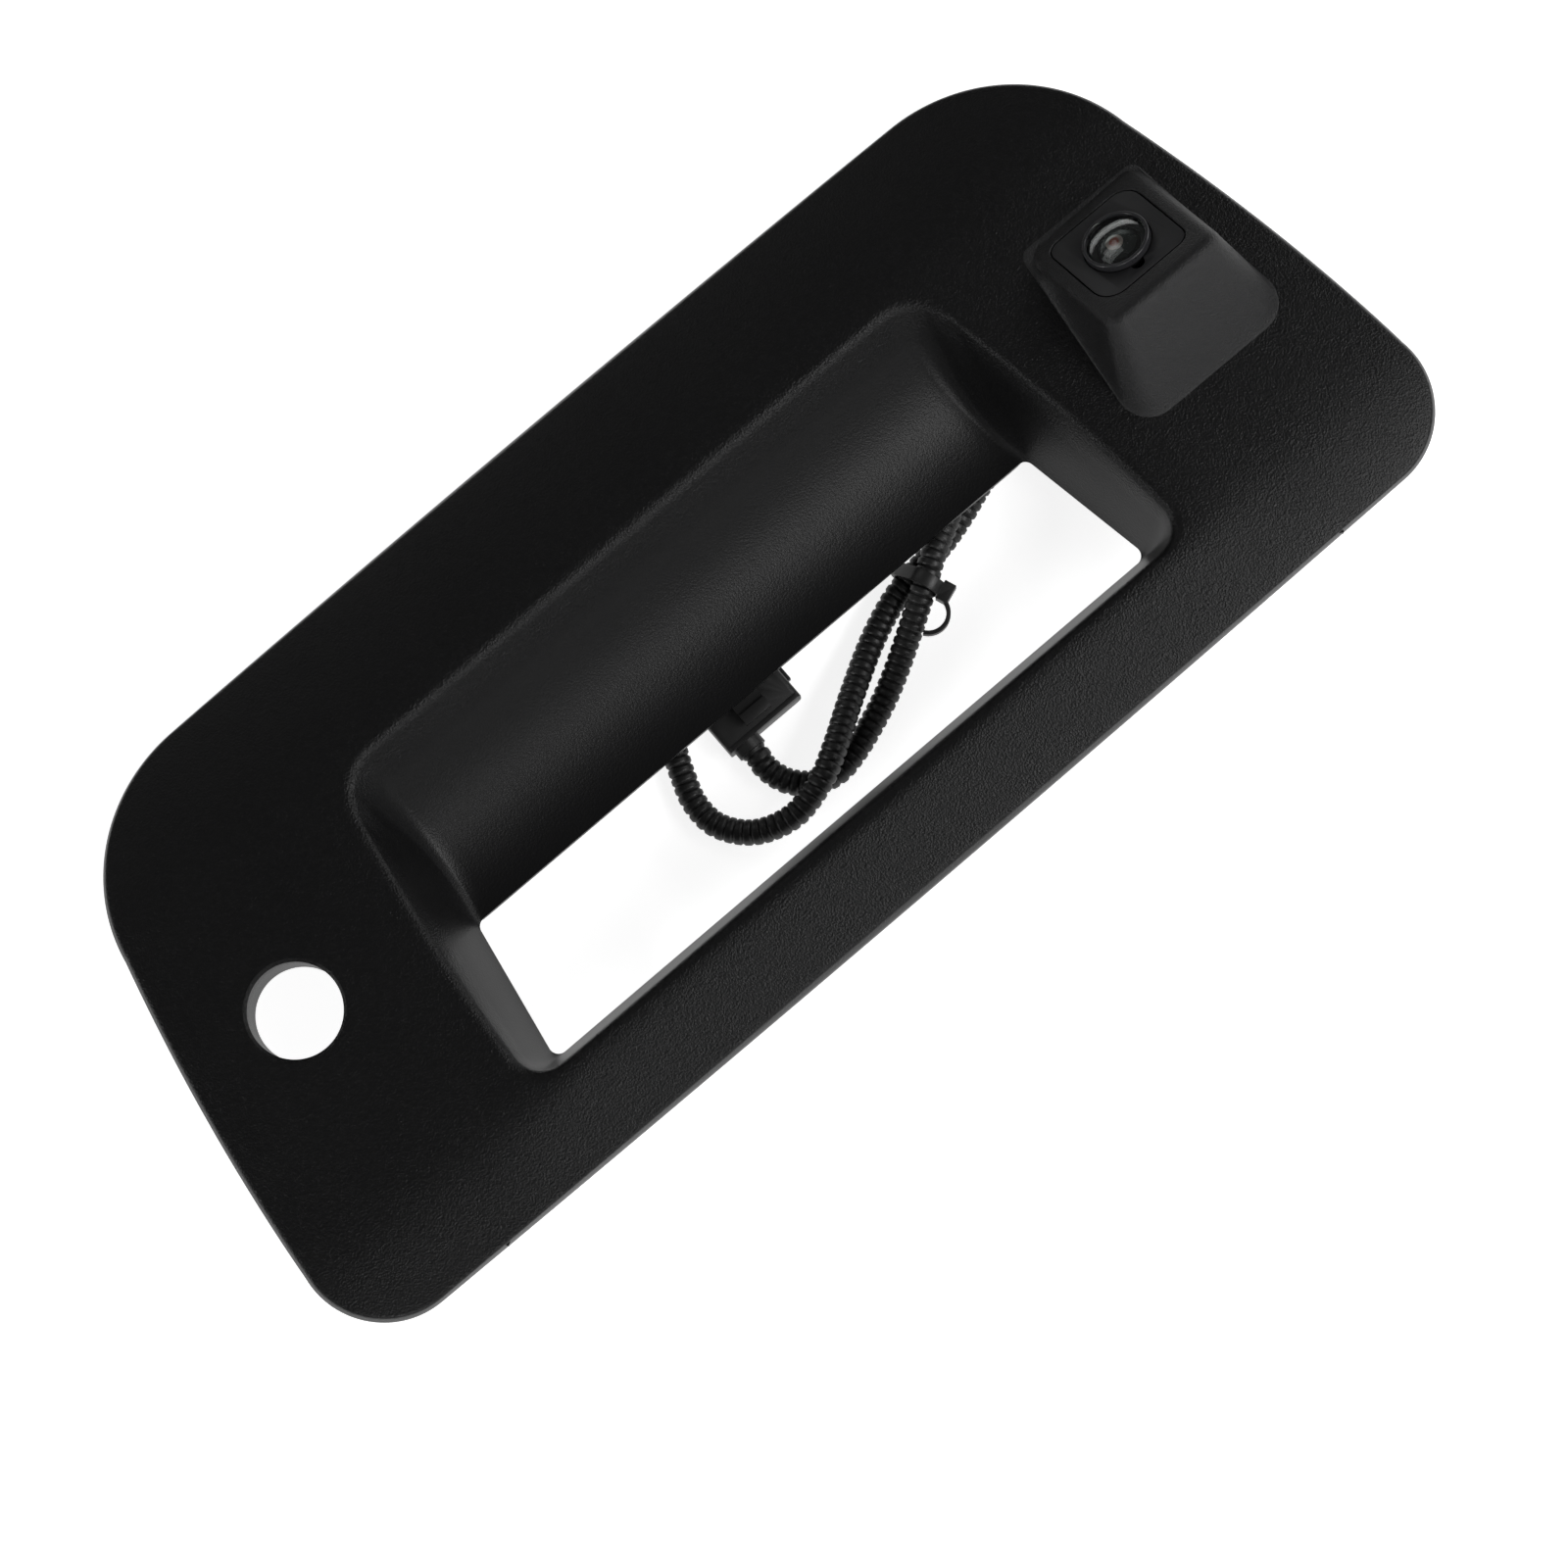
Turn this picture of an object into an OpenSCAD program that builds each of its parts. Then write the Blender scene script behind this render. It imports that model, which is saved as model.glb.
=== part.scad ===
// Tailgate handle bezel with a built-in backup camera, its harness and connector.
// The part lies face up on a bench: +Z out of the face, +Y to the upper edge,
// +X to the lock bore. The origin is under the middle of the bezel.

/* [Bezel] */
// Greatest length of the bezel
bezel_l = 358; // [344:1:372]
// Height of the bezel from lower to upper edge
bezel_h = 154; // [150:1:162]
// How much each end draws in from top to bottom
end_taper = 27; // [20:1:32]
// Radius of the two lower corners
low_corner_r = 46; // [38:1:50]
// Radius of the two upper corners
top_corner_r = 22; // [15:1:26]
// Outward bow of each end
end_bow = 1.8; // [0:0.1:3]
// Fall of the face from the pocket rim to the long edges
crown_h = 6.4; // [5:0.1:8]
// Fall of the face from the pocket rim to each end
end_drop = 3; // [1:0.1:4]
// Wall of the moulding
wall_t = 2.5; // [2:0.1:2.8]
// Depth of the skirt behind the edge
skirt_h = 5; // [4:0.5:7]
// Size of the roll on the edge and on the pocket rim
roll_r = 2.6; // [2:0.1:3]
// Height of the edge above the bench, on the clip towers
stand_h = 36; // [35.5:0.1:38]

/* [Pocket] */
// Length of the pocket rim along its upper side
pocket_l = 213; // [206:1:218]
// Height of the pocket rim
pocket_h = 90.4; // [88:0.2:93]
// Distance from the pocket rim to the upper edge of the bezel
pocket_inset = 25.2; // [23:0.2:27]
// How much each end of the pocket draws in from top to bottom
pocket_taper = 11.5; // [8:0.5:14]
// Radius of the pocket's lower corners
pocket_low_r = 14; // [10:0.5:18]
// Radius of the pocket's upper corners
pocket_top_r = 9; // [6:0.5:12]
// Depth from the pocket rim to the back edge
pocket_d = 27.2; // [26:0.1:28]
// Length of the hand opening along its upper side
opening_l = 196; // [190:1:198]
// Height of the hand opening
opening_h = 39; // [36:0.5:41]
// Lean of the pocket's upper wall
upper_lean = 4.2; // [3:0.1:5]
// How quickly the scoop falls from the rim
scoop_curve = 2.1; // [1.6:0.1:2.6]
// Size of the cove between the scoop and the pocket's other walls
cove = 0.9; // [0.3:0.1:1]

/* [Lock bore] */
// Diameter of the bore for the lock cylinder
lock_d = 24; // [20:0.5:28]
// Wall of the collar round the lock bore
lock_wall = 2.2; // [1.6:0.1:3]
// Length of the lock bore
lock_l = 15; // [12:0.5:18]
// Distance from the right end of the bezel to the bore
lock_inset = 40.6; // [38:0.2:44]

/* [Camera pod] */
// Distance from the left end of the bezel to the camera
pod_inset = 40.6; // [39:0.2:43]
// Height of the camera's face centre above the edge of the bezel
pod_rise = 15.8; // [14.8:0.1:16.8]
// Downward tilt of the lens
lens_tilt = 32.5; // [30:0.5:35]
// Width of the pod's front
pod_w = 35.2; // [34:0.2:37]
// Height of the pod's front
pod_h = 40.5; // [39.5:0.1:41.5]
// Spread of each pod side from front to foot
pod_flare = 7.6; // [6:0.2:9]
// Wall of the pod
pod_wall = 2.2; // [1.8:0.1:2.4]
// Flange of the pod behind the bezel
pod_flange = 4.6; // [4.2:0.1:5]

/* [Camera] */
// Side of the camera's square face
face_w = 26.4; // [25:0.1:27]
// Gap of the seam round the camera's face
seam_gap = 0.35; // [0.2:0.05:0.5]
// Diameter of the well that the lens sits in
lens_well_d = 18; // [17:0.1:19]
// Height of the lens ring above the camera's face
lens_rise = 1.8; // [1.4:0.1:2.4]
// Length of the camera from its face to its rear cover
camera_l = 26; // [25:0.2:27]
// Length of the cable boot
boot_l = 12; // [10:0.5:13]

/* [Harness] */
// Outside diameter of the corrugated conduit
conduit_d = 6.8; // [6:0.1:7]
// Width of the connector
plug_w = 23.4; // [22:0.2:25]
// Length of the connector
plug_l = 21; // [19:0.5:22]
// Height of the connector body
plug_h = 8.6; // [8:0.1:9.2]
// Number of terminals
ways = 5; // [3:1:5]
// Travel of the locking slide
slide_travel = 2.5; // [1.5:0.1:3]
// Thickness of the cable tie
tie_t = 1.1; // [0.8:0.1:1.4]

/* [Clips] */
// Width of a spring clip
clip_w = 10; // [8:0.5:12]
// Thickness of the spring steel
clip_t = 0.6; // [0.4:0.05:0.8]
// Thickness of a clip tower
tower_t = 2.6; // [2.2:0.1:3]

/* [Fits] */
// Clearance between pieces that slide or drop in
fit_gap = 0.15; // [0.1:0.01:0.2]

/* [Hidden] */
$fn = 48;
EPS = 0.01;

// ---- small helpers --------------------------------------------------------
function lerp(a, b, t) = a + (b - a) * t;
function unit(v) = v / norm(v);
function bezier(a, b, c, t) = lerp(lerp(a, b, t), lerp(b, c, t), t);
function dir(a) = [cos(a), sin(a)];
// Outline of a polygon, counterclockwise, with each corner rounded to its radius.
function rounded(pts, radii, steps = 8) = [
    for (i = [0:len(pts) - 1])
        let (p = pts[i],
             q = unit(pts[(i + len(pts) - 1) % len(pts)] - p),
             n = unit(pts[(i + 1) % len(pts)] - p),
             half = acos(q * n) / 2,
             centre = p + unit(q + n) * radii[i] / sin(half),
             from = p + q * radii[i] / tan(half) - centre,
             a0 = atan2(from[1], from[0]))
            for (k = [0:steps]) centre + radii[i] * dir(a0 + (180 - 2 * half) * k / steps)];
function rect(w, h) = [[-w / 2, -h / 2], [w / 2, -h / 2], [w / 2, h / 2], [-w / 2, h / 2]];

// ---- plan of the bezel ----------------------------------------------------
edge_steps = 8;     // half of the lower or upper edge
low_steps = 12;     // lower corner
end_steps = 11;     // end
top_steps = 7;      // upper corner
half_count = 2 * edge_steps + low_steps + end_steps + top_steps;
stations = 2 * half_count;
edge_bow = 1;       // the long edges stand out this much at their middle

// Right half of a four-sided loop with rounded corners, from the middle of its lower
// side to the middle of its upper side. xb and xt are its square corners.
function half_loop(xb, xt, yb, yt, rb, rt, bow, mid_bow) =
    let (th = atan2(yt - yb, xt - xb),
         d = dir(th),
         lb = rb * tan(th / 2),
         lt = rt * tan(90 - th / 2),
         p0 = [xb, yb] + lb * d,
         p1 = [xt, yt] - lt * d)
    concat(
        [for (i = [0:edge_steps - 1]) let (t = i / edge_steps)
            [(xb - lb) * t, yb - mid_bow * (1 - t * t)]],
        [for (i = [0:low_steps - 1]) [xb - lb, yb + rb] + rb * dir(-90 + th * i / low_steps)],
        [for (i = [0:end_steps - 1]) let (t = i / end_steps)
            lerp(p0, p1, t) + bow * 4 * t * (1 - t) * [d[1], -d[0]]],
        [for (i = [0:top_steps - 1])
            [xt - lt, yt - rt] + rt * dir(th - 90 + (180 - th) * i / top_steps)],
        [for (i = [0:edge_steps]) let (t = 1 - i / edge_steps)
            [(xt - lt) * t, yt + mid_bow * (1 - t * t)]]);
function mirrored(half) = concat(half, [for (i = [len(half) - 2:-1:1]) [-half[i][0], half[i][1]]]);

edge_y = bezel_h / 2 - edge_bow;
end_angle = atan2(2 * edge_y, end_taper);
top_x = bezel_l / 2 - top_corner_r + top_corner_r * tan(90 - end_angle / 2);
outline = mirrored(half_loop(top_x - end_taper, top_x, -edge_y, edge_y,
                             low_corner_r, top_corner_r, end_bow, edge_bow));
rim_top = bezel_h / 2 - pocket_inset;
rim = mirrored(half_loop(pocket_l / 2 - pocket_taper, pocket_l / 2, rim_top - pocket_h, rim_top,
                         pocket_low_r, pocket_top_r, 1.2, 0));
opening_r = 2.6;
opening_top = rim_top - upper_lean;
opening_taper = pocket_taper * 0.6;
opening = mirrored(half_loop(opening_l / 2 - opening_taper, opening_l / 2, opening_top - opening_h,
                             opening_top, opening_r, opening_r, 0, 0));

// ---- surface of the bezel -------------------------------------------------
edge_z = stand_h + 1;
crest_z = edge_z + crown_h;
back_z = stand_h - skirt_h;
deep_z = crest_z - pocket_d;
rim_low = rim_top - pocket_h;
opening_low = opening_top - opening_h;
function past(v, from, to) = pow(max(0, (v - from) / (to - from)), 2);
// Height of the face: flat round the pocket, curved down to the edges.
function face_at(x, y) =
    crest_z - crown_h * (past(y, rim_top, bezel_h / 2) + past(-y, -rim_low, bezel_h / 2))
    - end_drop * past(abs(x), pocket_l / 2, bezel_l / 2);
function on_face(p) = [p[0], p[1], face_at(p[0], p[1])];
// The lesser of two depths, with a cove where they meet that narrows as it gets deep.
function blend(a, b) =
    let (least = min(a, b), k = cove * (1.05 - min(1, least)))
    least - pow(max(0, k - abs(a - b)), 2) / (4 * k);
// Depth of the pocket, 0 at its rim's height and 1 at the opening's. The scoop falls
// fast and levels out; the ends and the upper wall fall evenly.
function depth_at(p) =
    let (x = abs(p[0]), y = p[1],
         v = max(0, min(1, (y - rim_low) / (opening_low - rim_low))),
         rim_x = pocket_l / 2 - pocket_taper * (rim_top - y) / pocket_h,
         open_x = opening_l / 2 - opening_taper * (opening_top - y) / opening_h)
    blend(1 - pow(1 - v, scoop_curve),
          blend((rim_x - x) / (rim_x - open_x), (rim_top - y) / (rim_top - opening_top)));
function pocket_z(i, t) =
    crest_z - pocket_d * (depth_at(lerp(rim[i], opening[i], t)) - depth_at(rim[i]) * pow(1 - t, 3)
                          + (1 - depth_at(opening[i])) * t * t);
function at(p, z) = [p[0], p[1], z];
face_steps = 4;
wall_steps = 8;
// Front of the moulding at one station, from the foot of the skirt to the back edge.
function front(i) =
    let (o = outline[i], c = rim[i], e = opening[i],
         face_l = norm(c - o), wall_l = norm(e - c),
         u0 = roll_r / face_l, u1 = 1 - roll_r / face_l,
         start = lerp(o, c, u0), end = lerp(o, c, u1),
         t0 = roll_r / norm([wall_l, (crest_z - pocket_z(i, 0.02)) / 0.02]),
         p1 = on_face(o), q2 = at(lerp(c, e, t0), pocket_z(i, t0)))
    concat([at(o, back_z)],
           [for (k = [0:3]) bezier(p1 - [0, 0, roll_r], p1, on_face(start), k / 3)],
           [for (k = [1:face_steps]) on_face(lerp(start, end, k / face_steps))],
           [for (k = [1:4]) bezier(on_face(end), at(c, crest_z), q2, k / 4)],
           [for (k = [1:wall_steps]) let (t = lerp(t0, 1, k / wall_steps))
               at(lerp(c, e, t), pocket_z(i, t))]);
grid = [for (i = [0:stations - 1]) front(i)];
last = len(grid[0]) - 1;
function normal(i, j) =
    let (along = grid[(i + 1) % stations][j] - grid[(i + stations - 1) % stations][j],
         across = grid[i][min(j + 1, last)] - grid[i][j - 1])
    unit(cross(along, across));
// Back of the moulding, from the back edge out to the foot of the skirt.
back_picks = [last, last - 3, last - 6, last - wall_steps, 8, 7, 5];
function back(i) =
    let (in = unit(rim[i] - outline[i]) * wall_t)
    concat([for (j = back_picks) grid[i][j] - wall_t * normal(i, j)],
           [on_face(outline[i]) + [in[0], in[1], -wall_t], at(outline[i] + in, back_z)]);
module ring_shell() {
    loops = [for (i = [0:stations - 1]) concat(grid[i], back(i))];
    m = len(loops[0]);
    polyhedron(
        points = [for (l = loops) each l],
        faces = [for (i = [0:stations - 1], j = [0:m - 1])
            let (a = i * m, b = ((i + 1) % stations) * m, k = (j + 1) % m)
                each [[a + j, a + k, b + k], [a + j, b + k, b + j]]],
        convexity = 6);
}

// ---- what the moulding carries --------------------------------------------
function spot(i, u) = on_face(lerp(outline[i], rim[i], u));
function inward(i) = let (d = rim[i] - outline[i]) atan2(d[1], d[0]);
// Direction square to the edge of the bezel at a station.
function square_in(i) = let (d = outline[(i + 1) % stations] - outline[i - 1]) atan2(d[0], -d[1]);
function opposite(i) = stations - i;
tower_w = clip_w + 3;
tower_spots = [for (s = [[4, 0.45], [14, 0.5], [41, 0.6]]) each [s, [opposite(s[0]), s[1]]]];
pin_spots = [[34, 0.45], [opposite(34), 0.45]];
boss_spots = [[38, 0.6], [opposite(38), 0.6]];
rib_stations = [2, opposite(2), 6, opposite(6), 39, opposite(39), 44, opposite(44), 26];
rib_t = 1.8;
rib_z = stand_h - 3;
root = wall_t / 2;  // how far ribs and towers run into the moulding's wall

module tower(i, u) {
    p = spot(i, u);
    foot = clip_t + fit_gap;
    translate([p[0], p[1], 0]) rotate(square_in(i)) {
        translate([-tower_t / 2, -tower_w / 2, foot]) cube([tower_t, tower_w, p[2] - root - foot]);
        translate([-4, -rib_t / 2, stand_h / 2.4]) cube([8, rib_t, p[2] - root - stand_h / 2.4]);
    }
}
module locating_pin(i, u) {
    p = spot(i, u);
    translate([p[0], p[1], stand_h - 16]) cylinder(r = 3, h = p[2] - root - stand_h + 16);
    translate([p[0], p[1], stand_h - 18]) cylinder(r1 = 1.8, r2 = 3, h = 2);
}
module screw_boss(i, u) {
    p = spot(i, u);
    translate([p[0], p[1], stand_h - 9]) difference() {
        cylinder(r = 4.2, h = p[2] - root - stand_h + 9);
        translate([0, 0, -EPS]) cylinder(r = 1.6, h = 9);
    }
}
// A rib from the skirt to the pocket wall, its top inside the face's wall.
module rib(i) {
    o = outline[i];
    face_l = norm(rim[i] - o);
    wall_l = (opening[i] - rim[i]) * unit(rim[i] - o);
    below = min([for (k = [0:50]) if (pocket_z(i, k / 50) <= rib_z) k / 50]);
    translate([o[0], o[1], 0]) rotate(inward(i)) rotate([90, 0, 0])
        translate([0, 0, -rib_t / 2]) linear_extrude(rib_t)
            polygon(concat([[root, rib_z], [face_l + below * wall_l - root, rib_z]],
                [for (u = [1, 0.8, 0.6, 0.4, 0.25, 0.12, 0])
                    [max(root, u * face_l - (u == 1 ? root : 0)), spot(i, u)[2] - root]]));
}

// ---- lock bore --------------------------------------------------------------
lock_x = bezel_l / 2 - lock_inset;
lock_y = -1.1;
lock_top = face_at(lock_x, lock_y);
lock_slope = atan((face_at(lock_x - 5, lock_y) - face_at(lock_x + 5, lock_y)) / 10);
module lock_collar() {
    translate([lock_x, lock_y, lock_top - lock_l]) cylinder(d = lock_d + 2 * lock_wall, h = lock_l - root);
}
module lock_bore() {
    translate([lock_x, lock_y, lock_top - lock_l - 1]) cylinder(d = lock_d, h = lock_l + 4);
    translate([lock_x, lock_y, lock_top]) rotate([0, lock_slope, 0])
        translate([0, 0, -2.9]) cylinder(d1 = lock_d - 4, d2 = lock_d + 4.2, h = 4.1);
}

// ---- camera pod: place and foot ---------------------------------------------
pod_x = -bezel_l / 2 + pod_inset;
pod_y = -13.2;
pod_z = stand_h + pod_rise;
pod_reach = 38.7;   // from the face's centre to the pod's upper foot
pod_edge_r = 2.6;
pod_foot_r = 8;
flange_t = 1.8;
pad_z = stand_h - 3;
module in_pod() translate([pod_x, pod_y, pod_z]) rotate([lens_tilt, 0, 0]) children();
foot_low = pod_y - pod_h / 2 * cos(lens_tilt);
foot_top = pod_y + pod_reach;
foot_low_w = pod_w / 2 + 0.8;
foot_top_w = pod_w / 2 + pod_flare;
// Outline of the pod's foot on the bezel, grown by g.
function pod_foot(g) = rounded(
    [[pod_x - foot_low_w - g, foot_low - g], [pod_x + foot_low_w + g, foot_low - g],
     [pod_x + foot_top_w + g, foot_top + g], [pod_x - foot_top_w - g, foot_top + g]],
    [2.6 + g, 2.6 + g, pod_foot_r + g, pod_foot_r + g], 6);
// Where the pod's screws stand: side is -1 or 1, f runs from the lower to the upper foot.
function foot_screw(side, f) =
    [pod_x + side * (lerp(foot_low_w, foot_top_w, f) + pod_flange / 2), lerp(foot_low, foot_top, f)];
pod_screw_spots = [foot_screw(-1, 0.2), foot_screw(1, 0.2), foot_screw(1, 0.72), foot_screw(-1, 0.72)];
pod_screw_r = 1.1;

// Thick flat pad round the pod's window. Its top is a plane inside the sloping wall.
pad_drop = 0.85;
module pod_pad() {
    x0 = pod_x - foot_top_w - pod_flange;
    x1 = pod_x + foot_top_w + pod_flange;
    y0 = foot_low - pod_flange;
    y1 = foot_top + pod_flange;
    ym = (y0 + y1) / 2;
    lean_x = atan((face_at(x1, ym) - face_at(x0, ym)) / (x1 - x0));
    lean_y = atan((face_at(pod_x, y1) - face_at(pod_x, y0)) / (y1 - y0));
    difference() {
        translate([0, 0, pad_z]) linear_extrude(crown_h + 6) polygon(pod_foot(pod_flange));
        translate([x0, ym, face_at(x0, ym) - pad_drop]) rotate([lean_y, -lean_x, 0])
            translate([-20, -60, 0]) cube([120, 120, 20]);
    }
}
module bezel_shell() color([0.15, 0.15, 0.16]) difference() {
    union() {
        ring_shell();
        pod_pad();
        lock_collar();
        for (s = tower_spots) tower(s[0], s[1]);
        for (s = pin_spots) locating_pin(s[0], s[1]);
        for (s = boss_spots) screw_boss(s[0], s[1]);
        for (i = rib_stations) rib(i);
    }
    lock_bore();
    translate([0, 0, pad_z - 1]) linear_extrude(crown_h + 12) polygon(pod_foot(fit_gap));
    for (p = pod_screw_spots) translate([p[0], p[1], pad_z - 1]) cylinder(r = pod_screw_r, h = 4.2);
}

// ---- camera pod -------------------------------------------------------------
// The outer form for inset 0, and the hollow inside it for inset pod_wall: four round
// corners at the pod's front, and the foot's outline where it meets the face.
module pod_form(inset) {
    foot = pod_foot(-inset - 0.04);
    n = len(foot);
    sink = inset * 0.5;
    hull() {
        in_pod() for (sx = [-1, 1], sy = [-1, 1])
            translate([sx * (pod_w / 2 - pod_edge_r), sy * (pod_h / 2 - pod_edge_r), -pod_edge_r])
                sphere(r = pod_edge_r - inset, $fn = 32);
        polyhedron(
            points = concat([for (p = foot) at(p, stand_h)], [for (p = foot) at(p, face_at(p[0], p[1]) - sink)]),
            faces = concat([[for (k = [0:n - 1]) k]], [for (k = [1:n - 2]) [n, n + k + 1, n + k]],
                [for (k = [0:n - 1]) let (m = (k + 1) % n) each [[k, n + k, n + m], [k, n + m, m]]]));
    }
}
ear_spots = [for (sy = [-1, 1], sx = [-1, 1]) [sx * (face_w / 2), sy * (pod_h / 2 - pod_wall - 2.1)]];
camera_screw_r = 0.75;
module pod_housing() color([0.24, 0.24, 0.25]) difference() {
    union() {
        pod_form(0);
        translate([0, 0, pad_z - flange_t]) linear_extrude(stand_h + 1 - pad_z + flange_t) polygon(pod_foot(0));
        translate([0, 0, pad_z - flange_t]) linear_extrude(flange_t) polygon(pod_foot(pod_flange));
    }
    pod_form(pod_wall);
    translate([0, 0, pad_z - flange_t - 1]) linear_extrude(stand_h + 2 - pad_z + flange_t)
        polygon(pod_foot(-pod_wall));
    in_pod() translate([0, 0, -pod_wall - 2]) linear_extrude(pod_wall + 4) polygon(face_outline(seam_gap));
    in_pod() for (p = ear_spots) translate([p[0], p[1], -pod_wall - 1])
        cylinder(r = camera_screw_r + 0.05, h = 1 + pod_wall - 0.7);
    for (p = pod_screw_spots) translate([p[0], p[1], pad_z - flange_t - 1])
        cylinder(r = pod_screw_r + fit_gap, h = flange_t + 2);
}
module pod_screw(p) color([0.6, 0.6, 0.62]) {
    translate([p[0], p[1], pad_z - flange_t]) cylinder(r = pod_screw_r - 0.05, h = flange_t + 3);
    translate([p[0], p[1], pad_z - flange_t - 1.2]) cylinder(r = 2, h = 1.2);
}

// ---- camera -----------------------------------------------------------------
// In the pod's frame z is 0 at the pod's front and falls into the camera.
face_top = -0.2;
face_seat = -4.5;
function face_outline(g) = rounded(rect(face_w + 2 * g, face_w + 2 * g), [5.3 + g, 3.2 + g, 6 + g, 3.2 + g]);
function square_outline(w, r) = rounded(rect(w, w), [r, r, r, r], 4);
well_r = lens_well_d / 2;
key_r = 1.9;
module camera_face() color([0.1, 0.1, 0.11]) in_pod() difference() {
    translate([0, 0, face_seat]) linear_extrude(face_top - face_seat) polygon(face_outline(0));
    translate([0, 0, face_seat - 1]) cylinder(r = well_r, h = 6);
    translate([0.4, well_r, face_seat + 1.2]) cylinder(r = key_r, h = 6);
}
body_w = face_w + 3;
body_r = 4;
box_w = face_w - 0.6;
box_wall = 1.6;
box_end = -(camera_l - 2.6);
flange_end = face_seat - 2;
sleeve_end = -15;
module camera_body() color([0.08, 0.08, 0.09]) in_pod() difference() {
    union() {
        translate([0, 0, flange_end]) linear_extrude(-pod_wall - 0.05 - flange_end) polygon(square_outline(body_w, body_r));
        translate([0, 0, box_end]) linear_extrude(flange_end - box_end + EPS) polygon(square_outline(box_w, 2));
        for (p = ear_spots) translate([p[0], p[1], face_seat]) cylinder(r = 1.9, h = -pod_wall - 0.05 - face_seat);
    }
    translate([0, 0, face_seat]) linear_extrude(-face_seat) polygon(face_outline(fit_gap));
    difference() {
        translate([0, 0, box_end - 1]) linear_extrude(flange_end - 2 - box_end + 1)
            polygon(square_outline(box_w - 2 * box_wall, 1));
        translate([0, 0, sleeve_end]) cylinder(r = well_r + 1.4, h = -sleeve_end);
        for (sx = [-1, 1], sy = [-1, 1]) translate([sx * (box_w / 2 - 3), sy * (box_w / 2 - 3), board_z])
            cylinder(r = 1.5, h = -board_z);
    }
    translate([0, 0, sleeve_end - 1]) cylinder(r = well_r - 0.2, h = -sleeve_end);
    for (p = ear_spots) translate([p[0], p[1], face_seat - 1]) cylinder(r = camera_screw_r + 0.1, h = 4);
}
module camera_screw(p) color([0.6, 0.6, 0.62]) in_pod() {
    translate([p[0], p[1], face_seat]) cylinder(r = camera_screw_r, h = -face_seat - 0.9);
    translate([p[0], p[1], face_seat - 1.1]) cylinder(r = 1.5, h = 1.1);
}
ring_z = lens_rise;
barrel_r = well_r - 0.25;
glass_r = barrel_r - 1.75;
module turned(points) rotate_extrude($fn = 72) polygon(points);
module lens_ring() color([0.5, 0.5, 0.52]) in_pod() turned(
    [[glass_r, ring_z - 2], [barrel_r, ring_z - 2], [barrel_r, ring_z - 0.4], [barrel_r - 0.4, ring_z],
     [barrel_r - 1.1, ring_z], [glass_r, ring_z - 0.7]]);
// A round lens from two domes: front apex, edge radius, front and rear rise, edge thickness.
module glass_lens(apex, r, front_rise, rear_rise, edge_t) {
    front_r = (r * r + front_rise * front_rise) / (2 * front_rise);
    rear_r = (r * r + rear_rise * rear_rise) / (2 * rear_rise);
    rim_z = apex - front_rise;
    turned(concat(
        [for (k = [0:8]) let (a = asin(r / front_r) * k / 8) [front_r * sin(a), apex - front_r * (1 - cos(a))]],
        [for (k = [8:-1:0]) let (a = asin(r / rear_r) * k / 8)
            [rear_r * sin(a), rim_z - edge_t + rear_rise - rear_r * (1 - cos(a))]]));
}
dome_rim = ring_z - 0.9;
module lens_dome() color([0.55, 0.6, 0.62, 0.6]) in_pod() glass_lens(dome_rim + 2.1, glass_r - 0.05, 2.1, 1.5, 1.1);
module lens_barrel() color([0.06, 0.06, 0.07]) in_pod() turned(
    [[barrel_r, ring_z - 2], [barrel_r, sleeve_end], [3.4, sleeve_end], [3.4, sleeve_end + 1.2],
     [4.7, sleeve_end + 1.2], [4.7, sleeve_end + 4.4], [5.6, sleeve_end + 4.4], [5.6, ring_z - 3.1],
     [glass_r, ring_z - 2.3], [glass_r, ring_z - 2]]);
module lens_inner() color([0.4, 0.5, 0.55, 0.6]) in_pod() glass_lens(ring_z - 3.6, 5.5, 1.4, 1.0, 1.2);
module lens_stop() color([0.05, 0.05, 0.06]) in_pod()
    translate([0, 0, sleeve_end + 4.4]) difference() {
        cylinder(r = 5.5, h = 0.35);
        translate([0, 0, -1]) cylinder(r = 2.1, h = 4);
    }
module lens_rear() color([0.5, 0.35, 0.35, 0.7]) in_pod() glass_lens(sleeve_end + 4.3, 4.6, 0.9, 0.6, 2);
board_z = -18.4;
board_w = box_w - 2 * box_wall - 0.4;
module image_sensor() color([0.2, 0.2, 0.22]) in_pod() translate([-4.4, -3.6, board_z]) cube([8.8, 7.2, 1.4]);
module sensor_board() color([0.1, 0.35, 0.2]) in_pod() translate([0, 0, board_z - 1.2])
    linear_extrude(1.2) polygon(square_outline(board_w, 1));
module cable_board() color([0.1, 0.35, 0.2]) in_pod() translate([0, 0, board_z - 3.8]) {
    linear_extrude(1.2) polygon(square_outline(board_w, 1));
    translate([-6, -2.4, 1.2]) cube([12, 4.8, 1.4]);
}
cover_r = 2;
seal_t = 0.8;
module rear_seal() color([0.3, 0.3, 0.3]) in_pod() translate([0, 0, box_end - seal_t]) linear_extrude(seal_t)
    difference() {
        polygon(square_outline(box_w, cover_r));
        polygon(square_outline(box_w - 2 * box_wall, cover_r - 1));
    }
boot_neck_r = 5.4;
module rear_cover() color([0.08, 0.08, 0.09]) in_pod() {
    translate([0, 0, -camera_l]) linear_extrude(camera_l + box_end - seal_t) polygon(square_outline(box_w, cover_r));
    for (sx = [-1, 1], sy = [-1, 1]) translate([sx * 7.6, sy * 7.6, -camera_l + 1])
        cylinder(r = 1.4, h = camera_l + board_z - 3.8 - 1);
}
boot_end = -(camera_l + boot_l);
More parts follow.
